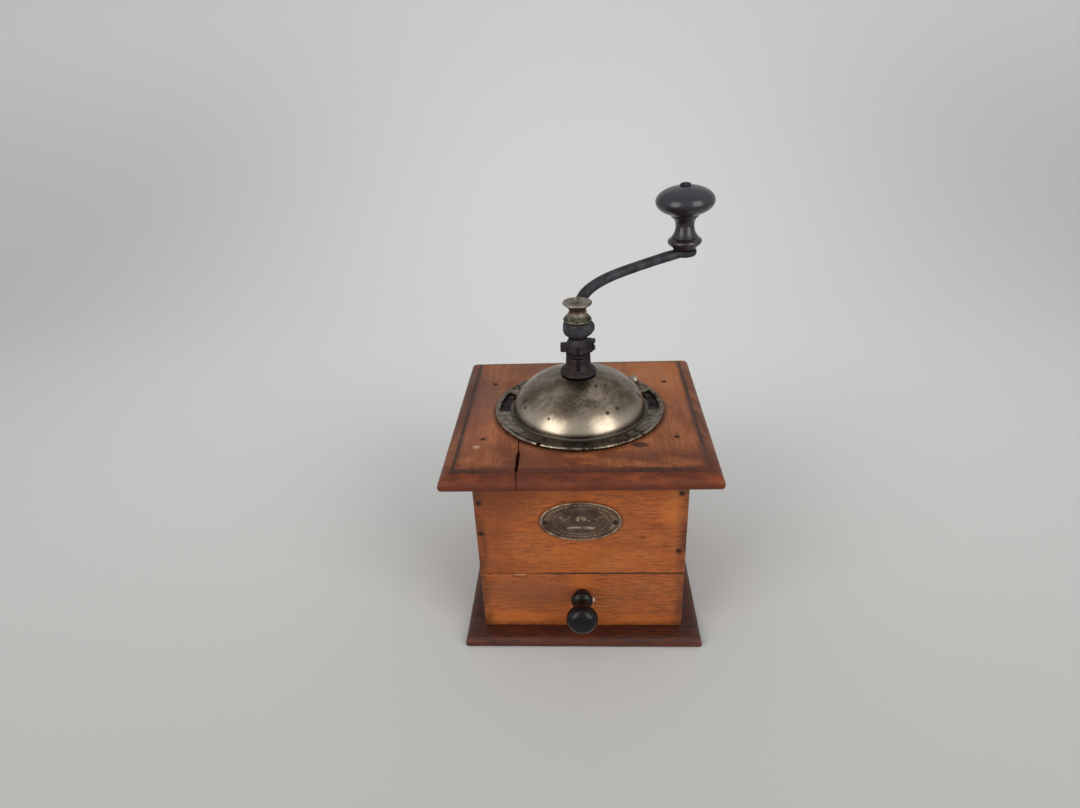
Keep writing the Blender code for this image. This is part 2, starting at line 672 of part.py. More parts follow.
def crank_arm():
    """Forged arm: square-holed hub, rising curved bar and an eye for the knob's pin."""
    stations = [(1.2, 3.6, 177.2), (2.0, 9.0, 177.6), (1.6, 12.6, 181.2), (1.4, 14.2, 186.8),
                (5.0, 16.6, 192.4), (13.0, 21.8, 196.7), (25.2, 29.2, 199.7), (43.6, 38.0, 202.9),
                (56.0, 43.3, 204.9), (64.0, 45.7, 206.0)]
    route = smooth_route([Vector(p) * MM for p in stations], 3)
    widths = (11.0, 8.0, 7.0, 6.6, 6.8, 9.0)
    loops = []
    for k, point in enumerate(route):
        ahead = route[min(k + 1, len(route) - 1)] - route[max(k - 1, 0)]
        along = ahead.normalized()
        side = along.cross(Vector((0, 0, 1))).normalized()
        rise = side.cross(along)
        place = k / (len(route) - 1) * (len(widths) - 1)
        base = min(int(place), len(widths) - 2)
        wide = (widths[base] + (widths[base + 1] - widths[base]) * (place - base)) * MM / 2
        thick = min(2.9, 2.05 + 0.3 * (len(route) - 1 - k)) * MM
        corner = 0.62
        ring = []
        for s, t in ((1, corner), (corner, 1), (-corner, 1), (-1, corner),
                     (-1, -corner), (-corner, -1), (corner, -1), (1, -corner)):
            ring.append(point + side * wide * s + rise * thick * t)
        loops.append(ring)
    piece = make_object("crank_arm", skin(loops), BLUE_IRON)
    hub = []
    for radius, height, boss in ((6.4, HUB_BOTTOM, 0), (8.3, HUB_BOTTOM + 1.8 * MM, 0.2),
                                 (8.7, HUB_BOTTOM + 3.4 * MM, 1.3), (8.6, HUB_TOP - 2.6 * MM, 1.3),
                                 (8.3, HUB_TOP - 0.9 * MM, 0.3), (7.8, HUB_TOP, 0)):
        loop = []
        for k in range(STACK):
            angle = 2 * math.pi * k / STACK
            reach = (radius + boss * max(0, math.cos(angle)) ** 2) * MM
            loop.append((reach * math.cos(angle), reach * math.sin(angle), height))
        hub.append(loop)
    eye = [(0, EYE_BOTTOM), (6.4 * MM, EYE_BOTTOM), (7.4 * MM, EYE_BOTTOM + 0.9 * MM),
           (7.4 * MM, EYE_TOP - 0.7 * MM), (6.8 * MM, EYE_TOP), (0, EYE_TOP)]
    at_knob = knob_axis()
    unite(piece, [skin(hub), turned(eye, SMALL, at_knob)])
    half = SQUARE + GAP
    square_hole = box_mesh((-half, -half, HUB_BOTTOM - 5 * MM), (half, half, HUB_TOP + 1.2 * MM))
    bore = PIN_R + GAP
    pin_hole = [(0, EYE_BOTTOM - 3 * MM), (bore, EYE_BOTTOM - 3 * MM), (bore, EYE_TOP + 3 * MM),
                (0, EYE_TOP + 3 * MM)]
    cut(piece, [square_hole, turned(pin_hole, 12, at_knob)], "_holes")


def knob_axis():
    """Placement that leans the knob's axis about the top of the eye."""
    foot = Vector((KNOB_X, KNOB_Y, EYE_TOP))
    lean = Matrix.Rotation(math.radians(-KNOB_LEAN), 4, "Y")
    return Matrix.Translation(foot) @ lean @ Matrix.Translation((0, 0, -EYE_TOP))


def finial_nut():
    """Flared nut that holds the crank, with a cupped top."""
    bore = 2.9 * MM + GAP
    low = HUB_TOP + GAP
    top = low + 11.0 * MM
    outline = [(0, SPINDLE_TOP + GAP), (bore, SPINDLE_TOP + GAP), (bore, low), (7.9 * MM, low),
               (8.2 * MM, low + 0.5 * MM), (8.0 * MM, low + 1.1 * MM), (6.8 * MM, low + 2.6 * MM),
               (5.0 * MM, low + 4.6 * MM), (4.8 * MM, low + 6.0 * MM), (5.8 * MM, low + 8.0 * MM),
               (8.2 * MM, low + 9.8 * MM), (8.5 * MM, top - 0.4 * MM), (8.0 * MM, top),
               (6.6 * MM, top - 0.4 * MM), (3.6 * MM, top - 1.7 * MM), (0, top - 2.0 * MM)]
    make_object("finial_nut", turned(outline, STACK), BRASS)


def crank_knob():
    """Turned knob: bead at its foot, waist and flattened round head, bored for the pin."""
    low = EYE_TOP + GAP
    bore = PIN_R + 0.4 * MM
    outline = [(bore, low), (6.9 * MM, low), (7.4 * MM, low + 1.2 * MM), (9.4 * MM, low + 2.6 * MM),
               (10.2 * MM, low + 4.4 * MM), (9.4 * MM, low + 6.4 * MM), (7.2 * MM, low + 8.4 * MM),
               (5.9 * MM, low + 11.0 * MM), (5.5 * MM, low + 14.0 * MM), (6.2 * MM, low + 17.2 * MM),
               (8.0 * MM, low + 19.2 * MM)]
    for k in range(7):
        angle = math.radians(-56 + 135 * k / 6)
        outline.append((17.6 * MM * math.cos(angle), 236.8 * MM + 8.9 * MM * math.sin(angle)))
    outline.append((bore, 245.6 * MM))
    at_knob = knob_axis()
    make_object("crank_knob", turned(outline, STACK, at_knob), BLACK_WOOD)
    top = 245.9 * MM
    pin = [(0, EYE_BOTTOM - 0.5 * MM), (PIN_R, EYE_BOTTOM - 0.2 * MM), (PIN_R, top), (2.9 * MM, top),
           (2.5 * MM, top + 0.9 * MM), (0, top + 1.5 * MM)]
    make_object("knob_pin", turned(pin, 12, at_knob), OLD_IRON)


def pair_of_screws(name, points, direction, length, shank, head):
    sides = name[1]
    made = []
    for side, point in zip(sides, points):
        made.append(Fastener(f"{name[0]}_{side}", "screw", point, direction, length, shank, head))
    return made


BRIM_SCREWS = pair_of_screws(("brim_screw", ("front", "rear")),
                             [(0, -BRIM_SCREW_Y, BRIM_Z + 0.7 * MM), (0, BRIM_SCREW_Y, BRIM_Z + 0.7 * MM)],
                             (0, 0, 1), 8.4 * MM, 1.1 * MM, 2.3 * MM)
EAR_SCREWS = pair_of_screws(("yoke_screw", ("left", "right")),
                            [(-EAR_SCREW.x, EAR_SCREW.y, 125.3 * MM), (EAR_SCREW.x, EAR_SCREW.y, 125.3 * MM)],
                            (0, 0, 1), 7.6 * MM, 1.2 * MM, 2.9 * MM)
BRIDGE_SCREWS = pair_of_screws(("bridge_screw", ("left", "right")),
                               [(-20.6 * MM, 0, 61.4 * MM), (20.6 * MM, 0, 61.4 * MM)],
                               (0, 0, -1), 14 * MM, 1.1 * MM, 2.0 * MM)


def build():
    nails, base_screws = case_fasteners()
    base_board(base_screws)
    side_boards(nails, base_screws)
    front_and_back(nails)
    top_board(nails, BRIM_SCREWS + EAR_SCREWS)
    kicker_strips()
    drawer()
    name_plate()
    for group in nails.values():
        for nail in group:
            nail.build()
    for screw in base_screws + BRIM_SCREWS + EAR_SCREWS + BRIDGE_SCREWS:
        screw.build()
    dome_cover()
    dome_door()
    mill_yoke()
    neck_collar()
    mill_housing()
    outer_burr()
    inner_burr()
    lower_bridge()
    spindle()
    thrust_washer()
    wing_nut()
    crank_arm()
    finial_nut()
    crank_knob()


clear_scene()
build()
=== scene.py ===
"""Looks of the hand crank coffee grinder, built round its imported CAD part.

Metres, +Z up, the origin under the middle of the base board, the drawer towards -Y.
Every piece is modelled where it stands at rest, so object coordinates are row coordinates.
"""

import math

import bmesh
import bpy
from mathutils import Matrix, Vector, noise


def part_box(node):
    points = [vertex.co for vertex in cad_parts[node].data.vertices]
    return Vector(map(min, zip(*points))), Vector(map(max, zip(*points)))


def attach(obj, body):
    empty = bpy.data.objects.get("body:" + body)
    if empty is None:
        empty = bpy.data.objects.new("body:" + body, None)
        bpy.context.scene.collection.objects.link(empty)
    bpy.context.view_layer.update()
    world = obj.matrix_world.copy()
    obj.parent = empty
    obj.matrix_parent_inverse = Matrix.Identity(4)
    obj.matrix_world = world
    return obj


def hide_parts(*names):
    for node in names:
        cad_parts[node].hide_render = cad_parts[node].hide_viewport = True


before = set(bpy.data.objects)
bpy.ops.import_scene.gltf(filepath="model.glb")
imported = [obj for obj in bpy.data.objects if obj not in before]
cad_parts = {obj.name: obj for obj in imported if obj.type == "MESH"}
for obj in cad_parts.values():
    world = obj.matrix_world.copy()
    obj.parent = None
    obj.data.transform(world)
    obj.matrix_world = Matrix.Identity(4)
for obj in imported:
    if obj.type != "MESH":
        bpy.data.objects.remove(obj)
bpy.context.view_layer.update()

MM = 0.001
UP = Vector((0, 0, 1))

# Sizes that several pieces share
FACETS = 128               # round a full turn on the larger turned pieces
FINE = 64                  # and on the smaller ones
CASE_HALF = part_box("front_panel")[1].x
TOP_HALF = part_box("top_board")[1].x
TOP_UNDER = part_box("top_board")[0].z
TOP_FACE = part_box("top_board")[1].z
FIELD = TOP_HALF - 8.0 * MM            # half the width of the top's flat field
FLANGE_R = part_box("mill_housing")[1].x
BRIM_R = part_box("dome_cover")[1].x
DOME_Z = 125.7 * MM                    # level of the dome's widest circle
DOME_R = 39.5 * MM
DOME_H = 24.2 * MM
NECK_R = 6.3 * MM
SHEET = 1.0 * MM
BRIM_Z = 126.1 * MM
COLLAR_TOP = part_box("neck_collar")[1].z
NUT_LOW, NUT_HIGH = (corner.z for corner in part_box("grind_adjuster_nut"))
HUB_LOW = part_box("crank_arm")[0].z
HUB_TOP = 181.6 * MM
FINIAL_LOW, FINIAL_HIGH = (corner.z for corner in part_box("finial_nut"))
EYE_TOP = 208.2 * MM
SEAM_Z = (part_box("front_panel")[0].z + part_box("drawer_front")[1].z) / 2
KNOB_FOOT = Vector((64.8 * MM, 46.0 * MM, EYE_TOP))
KNOB_LEAN = math.radians(-2.0)


# Meshes

def bare(work, name="scrap"):
    """An object with this mesh and nothing else."""
    bmesh.ops.recalc_face_normals(work, faces=work.faces)
    mesh = bpy.data.meshes.new(name)
    work.to_mesh(mesh)
    work.free()
    made = bpy.data.objects.new(name, mesh)
    bpy.context.scene.collection.objects.link(made)
    return made


def settle(made):
    """Replace a piece's mesh by what its modifiers make of it."""
    graph = bpy.context.evaluated_depsgraph_get()
    mesh = bpy.data.meshes.new_from_object(made.evaluated_get(graph))
    made.modifiers.clear()
    made.data = mesh
    return made


def carve(made, *shapes, operation="DIFFERENCE"):
    """Cut shapes out of a piece, or join them to it, for good."""
    tools = [bare(work) for work in shapes]
    for tool in tools:
        change = made.modifiers.new("carve", "BOOLEAN")
        change.operation = operation
        change.solver = "EXACT"
        change.object = tool
    settle(made)
    for tool in tools:
        bpy.data.objects.remove(tool)
    return made


def fuse(work, grain, passes=2):
    """Melt overlapping shells into one skin with soft inner corners."""
    made = bare(work)
    melt = made.modifiers.new("melt", "REMESH")
    melt.mode = "VOXEL"
    melt.voxel_size = grain
    soften = made.modifiers.new("soften", "SMOOTH")
    soften.factor = 0.5
    soften.iterations = passes
    settle(made)
    fused = bmesh.new()
    fused.from_mesh(made.data)
    bpy.data.objects.remove(made)
    return fused


def show(name, made, finish, body, nodes, sharp=38):
    """Give a finished shape its material, its body and the CAD nodes that it stands for."""
    made.name = name
    made.data.name = name
    made.data.materials.clear()
    made.data.materials.append(finish)
    made.data.shade_smooth()
    made.data.set_sharp_from_angle(angle=math.radians(sharp))
    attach(made, body)
    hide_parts(*nodes)
    return made


def gather(*works):
    """Several shells in one mesh."""
    whole = bmesh.new()
    for work in works:
        mesh = bpy.data.meshes.new("scrap")
        work.to_mesh(mesh)
        work.free()
        whole.from_mesh(mesh)
        bpy.data.meshes.remove(mesh)
    return whole


def skin(loops, ring=False):
    """Faces between successive loops of equal length, capped at the ends or joined as a ring."""
    work = bmesh.new()
    rows = [[work.verts.new(point) for point in loop] for loop in loops]
    pairs = list(zip(rows, rows[1:]))
    if ring:
        pairs.append((rows[-1], rows[0]))
    for low, high in pairs:
        for i in range(len(low)):
            j = (i + 1) % len(low)
            work.faces.new((low[i], low[j], high[j], high[i]))
    if not ring:
        work.faces.new(rows[0])
        work.faces.new(rows[-1])
    return work


def lathe(outline, facets, place=None):
    """Solid of revolution about Z; points of radius 0 are poles, otherwise it is a ring."""
    work = bmesh.new()
    rows = []
    for radius, height in outline:
        if radius < 1e-9:
            rows.append([work.verts.new((0, 0, height))])
            continue
        turns = [2 * math.pi * k / facets for k in range(facets)]
        rows.append([work.verts.new((radius * math.cos(t), radius * math.sin(t), height)) for t in turns])
    pairs = list(zip(rows, rows[1:]))
    if len(rows[0]) > 1:
        pairs.append((rows[-1], rows[0]))
    for low, high in pairs:
        for k in range(facets):
            n = (k + 1) % facets
            if len(low) == 1:
                work.faces.new((low[0], high[n], high[k]))
            elif len(high) == 1:
                work.faces.new((low[k], low[n], high[0]))
            else:
                work.faces.new((low[k], low[n], high[n], high[k]))
    if place is not None:
        work.transform(place)
    return work


def soft(points, radius, steps=3):
    """An outline with each of its inner corners rounded."""
    spots = [Vector(point) for point in points]
    out = [spots[0]]
    for a, b, c in zip(spots, spots[1:], spots[2:]):
        back, on = a - b, c - b
        reach = min(radius, back.length * 0.45, on.length * 0.45)
        start = b + back.normalized() * reach
        end = b + on.normalized() * reach
        for k in range(steps + 1):
            t = k / steps
            out.append(start * (1 - t) ** 2 + b * 2 * t * (1 - t) + end * t * t)
    out.append(spots[-1])
    return out


def millimetres(*points):
    return [(a * MM, b * MM) for a, b in points]


def arc(centre, radii, start, end, steps):
    """Points of an ellipse's arc in the outline's plane, angles in degrees from outward."""
    turns = [math.radians(start + (end - start) * k / steps) for k in range(steps + 1)]
    return [(centre[0] + radii[0] * math.cos(t), centre[1] + radii[1] * math.sin(t)) for t in turns]


def block(low, high):
    work = bmesh.new()
    middle = (Vector(high) + Vector(low)) / 2
    size = Vector(high) - Vector(low)
    bmesh.ops.create_cube(work, size=1.0, matrix=Matrix.Translation(middle) @ Matrix.Diagonal((*size, 1)))
    return work


def sector(inner, outer, start, end, low, high, steps=24):
    """Part of a flat ring between two angles in degrees."""
    loops = []
    for k in range(steps + 1):
        turn = math.radians(start + (end - start) * k / steps)
        c, s = math.cos(turn), math.sin(turn)
        loops.append([(inner * c, inner * s, low), (outer * c, outer * s, low),
                      (outer * c, outer * s, high), (inner * c, inner * s, high)])
    return skin(loops)


def eased_block(low, high, radius, spacing):
    """A block with rounded edges, gridded finely enough to be worn."""
    def stops(a, b):
        count = max(1, round((b - a - 2 * radius) / spacing))
        middle = [a + radius + (b - a - 2 * radius) * k / count for k in range(count + 1)]
        return [a, a + radius / 2] + middle + [b - radius / 2, b]

    grid = [stops(a, b) for a, b in zip(low, high)]
    work = bmesh.new()
    made = {}

    def corner(index):
        if index not in made:
            point = Vector([grid[axis][index[axis]] for axis in range(3)])
            core = Vector([max(a + radius, min(b - radius, p)) for a, b, p in zip(low, high, point)])
            made[index] = work.verts.new(core + (point - core).normalized() * radius)
        return made[index]

    for axis in range(3):
        u, v = (axis + 1) % 3, (axis + 2) % 3
        for end in (0, len(grid[axis]) - 1):
            for i in range(len(grid[u]) - 1):
                for j in range(len(grid[v]) - 1):
                    quad = []
                    for du, dv in ((0, 0), (1, 0), (1, 1), (0, 1)):
                        index = [0, 0, 0]
                        index[axis], index[u], index[v] = end, i + du, j + dv
                        quad.append(corner(tuple(index)))
                    work.faces.new(quad)
    return work


def weather(work, depth, size, seed, edges=0.0):
    """Push a skin inward by uneven amounts, and more on its outward corners."""
    bmesh.ops.recalc_face_normals(work, faces=work.faces)
    work.normal_update()
    moves = []
    for vert in work.verts:
        ring = [edge.other_vert(vert).co for edge in vert.link_edges]
        middle = sum(ring, Vector()) / len(ring)
        gauge = sum((co - vert.co).length for co in ring) / len(ring)
        bulge = min(1.0, max(0.0, (vert.co - middle).dot(vert.normal) / gauge))
        wave = 0.5 + 0.5 * noise.noise(vert.co / size + Vector((seed, 0, 0)))
        moves.append(vert.normal * -(depth * wave + edges * bulge * wave))
    for vert, move in zip(work.verts, moves):
        vert.co += move
    return work


def aim(point, direction):
    """Placement that turns +Z into the direction, at the point."""
    turn = Vector(direction).normalized().to_track_quat("Z", "Y").to_matrix().to_4x4()
    return Matrix.Translation(Vector(point)) @ turn


# Materials

class Finish:
    """A procedural material. Sizes are millimetres of the object's own space."""

    def __init__(self, name, metallic=0.0, specular=0.5, coat=0.0, coat_roughness=0.1):
        self.material = bpy.data.materials.new(name)
        self.material.use_nodes = True
        self.tree = self.material.node_tree
        self.shader = self.tree.nodes["Principled BSDF"]
        self.shader.inputs["Metallic"].default_value = metallic
        self.shader.inputs["Specular IOR Level"].default_value = specular
        self.shader.inputs["Coat Weight"].default_value = coat
        self.shader.inputs["Coat Roughness"].default_value = coat_roughness
        self.place = self.tree.nodes.new("ShaderNodeTexCoord").outputs["Object"]
        apart = self.tree.nodes.new("ShaderNodeSeparateXYZ")
        self.tree.links.new(self.place, apart.inputs[0])
        self.x, self.y, self.z = apart.outputs

    def feed(self, socket, value):
        if isinstance(value, bpy.types.NodeSocket):
            self.tree.links.new(value, socket)
        elif socket.type == "RGBA":
            socket.default_value = (*value, 1.0)
        else:
            socket.default_value = value

    def maths(self, operation, first, second=0.0, third=0.0):
        node = self.tree.nodes.new("ShaderNodeMath")
        node.operation = operation
        for socket, value in zip(node.inputs, (first, second, third)):
            self.feed(socket, value)
        return node.outputs[0]

    def scaled(self, size, seed):
        """Coordinates in which one unit is the given size along each axis."""
        node = self.tree.nodes.new("ShaderNodeVectorMath")
        node.operation = "MULTIPLY_ADD"
        self.feed(node.inputs[0], self.place)
        node.inputs[1].default_value = [1 / (length * MM) for length in size]
        node.inputs[2].default_value = (seed, 1.7 * seed, -seed)
        return node.outputs[0]

    def grain(self, size, seed=0.0, detail=3.0, roughness=0.55, distortion=0.0):
        """Noise from 0 to 1 with features of this size along each axis."""
        node = self.tree.nodes.new("ShaderNodeTexNoise")
        self.feed(node.inputs["Vector"], self.scaled(size, seed))
        node.inputs["Scale"].default_value = 1.0
        node.inputs["Detail"].default_value = detail
        node.inputs["Roughness"].default_value = roughness
        node.inputs["Distortion"].default_value = distortion
        return node.outputs[0]

    def cells(self, size, seed=0.0):
        """Distance from the nearest of scattered points, in cells."""
        node = self.tree.nodes.new("ShaderNodeTexVoronoi")
        self.feed(node.inputs["Vector"], self.scaled(size, seed))
        node.inputs["Scale"].default_value = 1.0
        return node.outputs["Distance"]

    def ramp(self, value, low, high, start=0.0, end=1.0):
        """Smooth step from start to end as the value goes from low to high."""
        node = self.tree.nodes.new("ShaderNodeMapRange")
        node.interpolation_type = "SMOOTHSTEP"
        for socket, item in zip(node.inputs, (value, low, high, start, end)):
            self.feed(socket, item)
        return node.outputs[0]

    def band(self, value, low, high, edge):
        """1 where the value lies between low and high, falling off over the edge."""
        return self.maths("MULTIPLY", self.ramp(value, low - edge, low), self.ramp(value, high + edge, high))

    def blend(self, share, first, second, mode="MIX"):
        node = self.tree.nodes.new("ShaderNodeMix")
        node.data_type = "RGBA"
        node.blend_type = mode
        for index, value in ((0, share), (6, first), (7, second)):
            self.feed(node.inputs[index], value)
        return node.outputs[2]

    def spot(self, centre, reach, ragged=0.35, seed=3.0):
        """Mask of a ragged patch: centre in metres, reach along each axis in millimetres."""
        away = self.tree.nodes.new("ShaderNodeVectorMath")
        away.operation = "SUBTRACT"
        self.feed(away.inputs[0], self.place)
        away.inputs[1].default_value = centre
        shrink = self.tree.nodes.new("ShaderNodeVectorMath")
        shrink.operation = "MULTIPLY"
        self.feed(shrink.inputs[0], away.outputs[0])
        shrink.inputs[1].default_value = [1 / (length * MM) for length in reach]
        far = self.tree.nodes.new("ShaderNodeVectorMath")
        far.operation = "LENGTH"
        self.feed(far.inputs[0], shrink.outputs[0])
        size = max(0.4, min(reach) * 0.6)
        rough = self.maths("MULTIPLY_ADD", self.grain((size,) * 3, seed), 4 * ragged, -2 * ragged)
        edge = 0.25 if max(reach) < 6 else 0.6
        return self.ramp(self.maths("ADD", far.outputs["Value"], rough), 1 + edge, 1 - edge)

    def done(self, colour, roughness, height, depth, metallic=None):
        """Connect the results: colour, roughness, and a height from 0 to 1 of this depth in mm."""
        self.feed(self.shader.inputs["Base Color"], colour)
        self.feed(self.shader.inputs["Roughness"], roughness)
        if metallic is not None:
            self.feed(self.shader.inputs["Metallic"], metallic)
        bump = self.tree.nodes.new("ShaderNodeBump")
        bump.inputs["Strength"].default_value = 1.0
        bump.inputs["Distance"].default_value = depth * MM
        self.feed(bump.inputs["Height"], height)
        self.tree.links.new(bump.outputs["Normal"], self.shader.inputs["Normal"])
        return self.material


def along(axis, length, across):
    return tuple(length if k == axis else across for k in range(3))


def wood(name, tones, axis, seed, figure=1.0, gloss=(0.38, 0.60), marks=(), extra=None, coat=0.09, specular=0.27):
    """Old varnished board. Tones are pale, middle, dark and nearly black, and axis is the grain's."""
    pale, middle, dark, black = tones
    skin_ = Finish(name, specular=specular, coat=coat, coat_roughness=0.28)
    rings = skin_.grain(along(axis, 150, 9), seed, 2.0, 0.5, 1.2)
    colour = skin_.blend(skin_.ramp(rings, 0.34, 0.66), pale, middle)
    cloud = skin_.grain(along(axis, 46, 24), seed + 5, 4.0, 0.62)
    colour = skin_.blend(skin_.ramp(cloud, 0.44, 0.72, 0.0, 0.9), colour, dark)
    if tones is FRONT_TONES:
        colour = uneven_varnish(skin_, colour, axis)
    flecks = skin_.grain(along(axis, 17, 1.0), seed + 9, 3.0, 0.6, 0.4)
    colour = skin_.blend(skin_.ramp(flecks, 0.46, 0.68, 0.0, 0.62 * figure), colour, dark)
    fibre = skin_.grain(along(axis, 9, 0.35), seed + 13, 2.0)
    colour = skin_.blend(skin_.ramp(fibre, 0.3, 0.7, 0.0, 0.40 * figure), colour, pale)
    dashes = skin_.grain(along(axis, 7.5, 0.75), seed + 15, 2.0, 0.5)
    colour = skin_.blend(skin_.ramp(dashes, 0.50, 0.64, 0.0, 0.62 * figure), colour, dark)
    pale_lines = skin_.ramp(skin_.grain(along(axis, 12, 0.7), seed + 16, 2.0), 0.52, 0.66, 0.0, 0.5 * figure)
    colour = skin_.blend(pale_lines, colour, pale)
    pores = skin_.ramp(skin_.grain(along(axis, 3.2, 0.28), seed + 17, 1.0), 0.64, 0.76)
    colour = skin_.blend(skin_.maths("MULTIPLY", pores, 0.6 * figure), colour, black)
    grime = skin_.ramp(skin_.grain((7, 7, 7), seed + 21, 5.0, 0.7), 0.6, 0.82, 0.0, 0.55)
    colour = skin_.blend(grime, colour, black)
    dents = skin_.ramp(skin_.cells((9, 9, 9), seed + 25), 0.05, 0.16)
    for centre, reach, tone, strength in marks:
        patch = skin_.maths("MULTIPLY", skin_.spot(centre, reach), strength)
        colour = skin_.blend(patch, colour, tone)
    if extra is not None:
        colour = extra(skin_, colour)
    rough = skin_.ramp(skin_.grain((16, 16, 16), seed + 29, 4.0), 0.3, 0.7, *gloss)
    rough = skin_.maths("MULTIPLY_ADD", pores, 0.2, rough)
    height = skin_.maths("MULTIPLY_ADD", pores, -0.6, skin_.maths("MULTIPLY", fibre, 0.5))
    height = skin_.maths("MULTIPLY_ADD", dents, 0.5, height)
    return skin_.done(colour, rough, height, 0.09)


def uneven_varnish(skin_, colour, axis):
    """Patches of tan and red, and a fine mottle."""
    tan = skin_.ramp(skin_.grain(along(axis, 34, 10), 91.0, 4.0, 0.6), 0.47, 0.62, 0.0, 0.6)
    colour = skin_.blend(tan, colour, (0.265, 0.090, 0.024))
    red = skin_.ramp(skin_.grain(along(axis, 22, 12), 93.0, 4.0, 0.65), 0.50, 0.66, 0.0, 0.6)
    colour = skin_.blend(red, colour, (0.20, 0.045, 0.012))
    mottle = skin_.ramp(skin_.grain(along(axis, 3.2, 1.3), 95.0, 3.0, 0.65), 0.50, 0.66, 0.0, 0.45)
    return skin_.blend(mottle, colour, (0.16, 0.046, 0.014))


def groove_dirt_and_shade(skin_, colour):
    """Dirt and painted shade in the step round the top's field, a redder moulding outside it, darker wood towards the
    front, and painted shadow round and under the dome's brim.
    """
    wide = skin_.maths("MAXIMUM", skin_.maths("ABSOLUTE", skin_.x), skin_.maths("ABSOLUTE", skin_.y))
    patchy = skin_.ramp(skin_.grain((13, 13, 6), 41.0, 4.0, 0.65), 0.32, 0.62)
    moulding = skin_.ramp(wide, FIELD, FIELD + 1.5 * MM)
    front = skin_.ramp(skin_.y, -FIELD + 3 * MM, -FIELD - 1 * MM)
    strength = skin_.maths("MULTIPLY", moulding, skin_.maths("MULTIPLY_ADD", front, 0.75, 0.2))
    colour = skin_.blend(strength, colour, (0.125, 0.023, 0.007))
    worn = skin_.ramp(skin_.grain((24, 24, 3), 43.0, 4.0, 0.6), 0.44, 0.60)
    worn = skin_.maths("MULTIPLY", skin_.maths("MULTIPLY", worn, front), skin_.ramp(skin_.z, 117.5 * MM, 119.5 * MM))
    colour = skin_.blend(skin_.maths("MULTIPLY", worn, 0.75), colour, (0.25, 0.056, 0.012))
    dark = skin_.maths("MULTIPLY", moulding, skin_.maths("MULTIPLY", patchy, 0.6))
    colour = skin_.blend(dark, colour, (0.030, 0.010, 0.007))
    uneven = skin_.ramp(skin_.grain((6, 6, 6), 45.0, 4.0, 0.7), 0.25, 0.7, 0.35, 1.0)
    # Painted shade mixed with dirt: the soft patchy band and the darker line in the step round the field.
    near = skin_.band(wide, FIELD - 1.0 * MM, FIELD + 0.6 * MM, 2.2 * MM)
    colour = skin_.blend(skin_.maths("MULTIPLY", near, skin_.maths("MULTIPLY", uneven, 0.62)),
                         colour, (0.035, 0.011, 0.007))
    step = skin_.band(wide, FIELD - 0.3 * MM, FIELD + 0.9 * MM, 0.7 * MM)
    colour = skin_.blend(skin_.maths("MULTIPLY", step, 0.92), colour, (0.022, 0.009, 0.007))
    # Darker towards the front of the top.
    ahead = skin_.ramp(skin_.y, -36 * MM, -58 * MM, 0.0, 0.75)
    ahead = skin_.maths("MULTIPLY", ahead, skin_.ramp(skin_.grain((26, 13, 13), 49.0, 5.0, 0.62), 0.36, 0.58))
    colour = skin_.blend(ahead, colour, (0.085, 0.020, 0.009))
    # Painted shadow: a patchy dark ring round the dome's brim where it sits on the board, and painted shade, nearly
    # black, under the brim.
    radius = skin_.maths("SQRT", skin_.maths("ADD", skin_.maths("POWER", skin_.x, 2.0),
                                             skin_.maths("POWER", skin_.y, 2.0)))
    halo = skin_.maths("MULTIPLY", skin_.ramp(radius, BRIM_R + 3.5 * MM, BRIM_R - 0.6 * MM), 0.75)
    halo = skin_.maths("MULTIPLY", halo, skin_.ramp(skin_.grain((9, 9, 9), 47.0, 4.0), 0.25, 0.6, 0.45, 1.0))
    colour = skin_.blend(halo, colour, (0.03, 0.012, 0.008))
    return skin_.blend(skin_.ramp(radius, BRIM_R - 0.3 * MM, BRIM_R - 1.5 * MM, 0.0, 0.97), colour, (0.012, 0.006, 0.005))


def case_dirt_and_shade(skin_, colour):
    """Handling dirt along the edges of the case, painted shade, made patchy, under the top board, and darker wood
    towards the foot.
    """
    corner = skin_.maths("MINIMUM", skin_.maths("ABSOLUTE", skin_.x), skin_.maths("ABSOLUTE", skin_.y))
    patchy = skin_.ramp(skin_.grain((9, 9, 14), 51.0, 4.0, 0.65), 0.3, 0.7, 0.25, 1.0)
    edge = skin_.ramp(corner, CASE_HALF - 8 * MM, CASE_HALF - 0.5 * MM, 0.0, 0.85)
    colour = skin_.blend(skin_.maths("MULTIPLY", edge, patchy), colour, (0.035, 0.011, 0.006))
    # Painted shade under the top board's overhang, made patchy.
    shade = skin_.ramp(skin_.z, TOP_UNDER - 13 * MM, TOP_UNDER, 0.0, 0.5)
    colour = skin_.blend(skin_.maths("MULTIPLY", shade, patchy), colour, (0.09, 0.034, 0.018))
    # Darker towards the foot of the case.
    foot = skin_.ramp(skin_.z, 13 * MM, 7 * MM, 0.0, 0.6)
    colour = skin_.blend(skin_.maths("MULTIPLY", foot, patchy), colour, (0.04, 0.014, 0.008))
    rough = skin_.grain((5, 5, 2.2), 57.0, 4.0, 0.7)
    ragged = skin_.maths("MULTIPLY_ADD", rough, 2.4 * MM, skin_.maths("ADD", skin_.z, -1.2 * MM))
    seam = skin_.band(ragged, SEAM_Z - 0.5 * MM, SEAM_Z + 0.5 * MM, 0.7 * MM)
    seam = skin_.maths("MULTIPLY", seam, skin_.ramp(skin_.y, 4 * MM - CASE_HALF, 2 * MM - CASE_HALF))
    side = skin_.ramp(skin_.x, -34 * MM, -12 * MM, 0.15, 0.75)
    return skin_.blend(skin_.maths("MULTIPLY", seam, side), colour, (0.03, 0.011, 0.007))


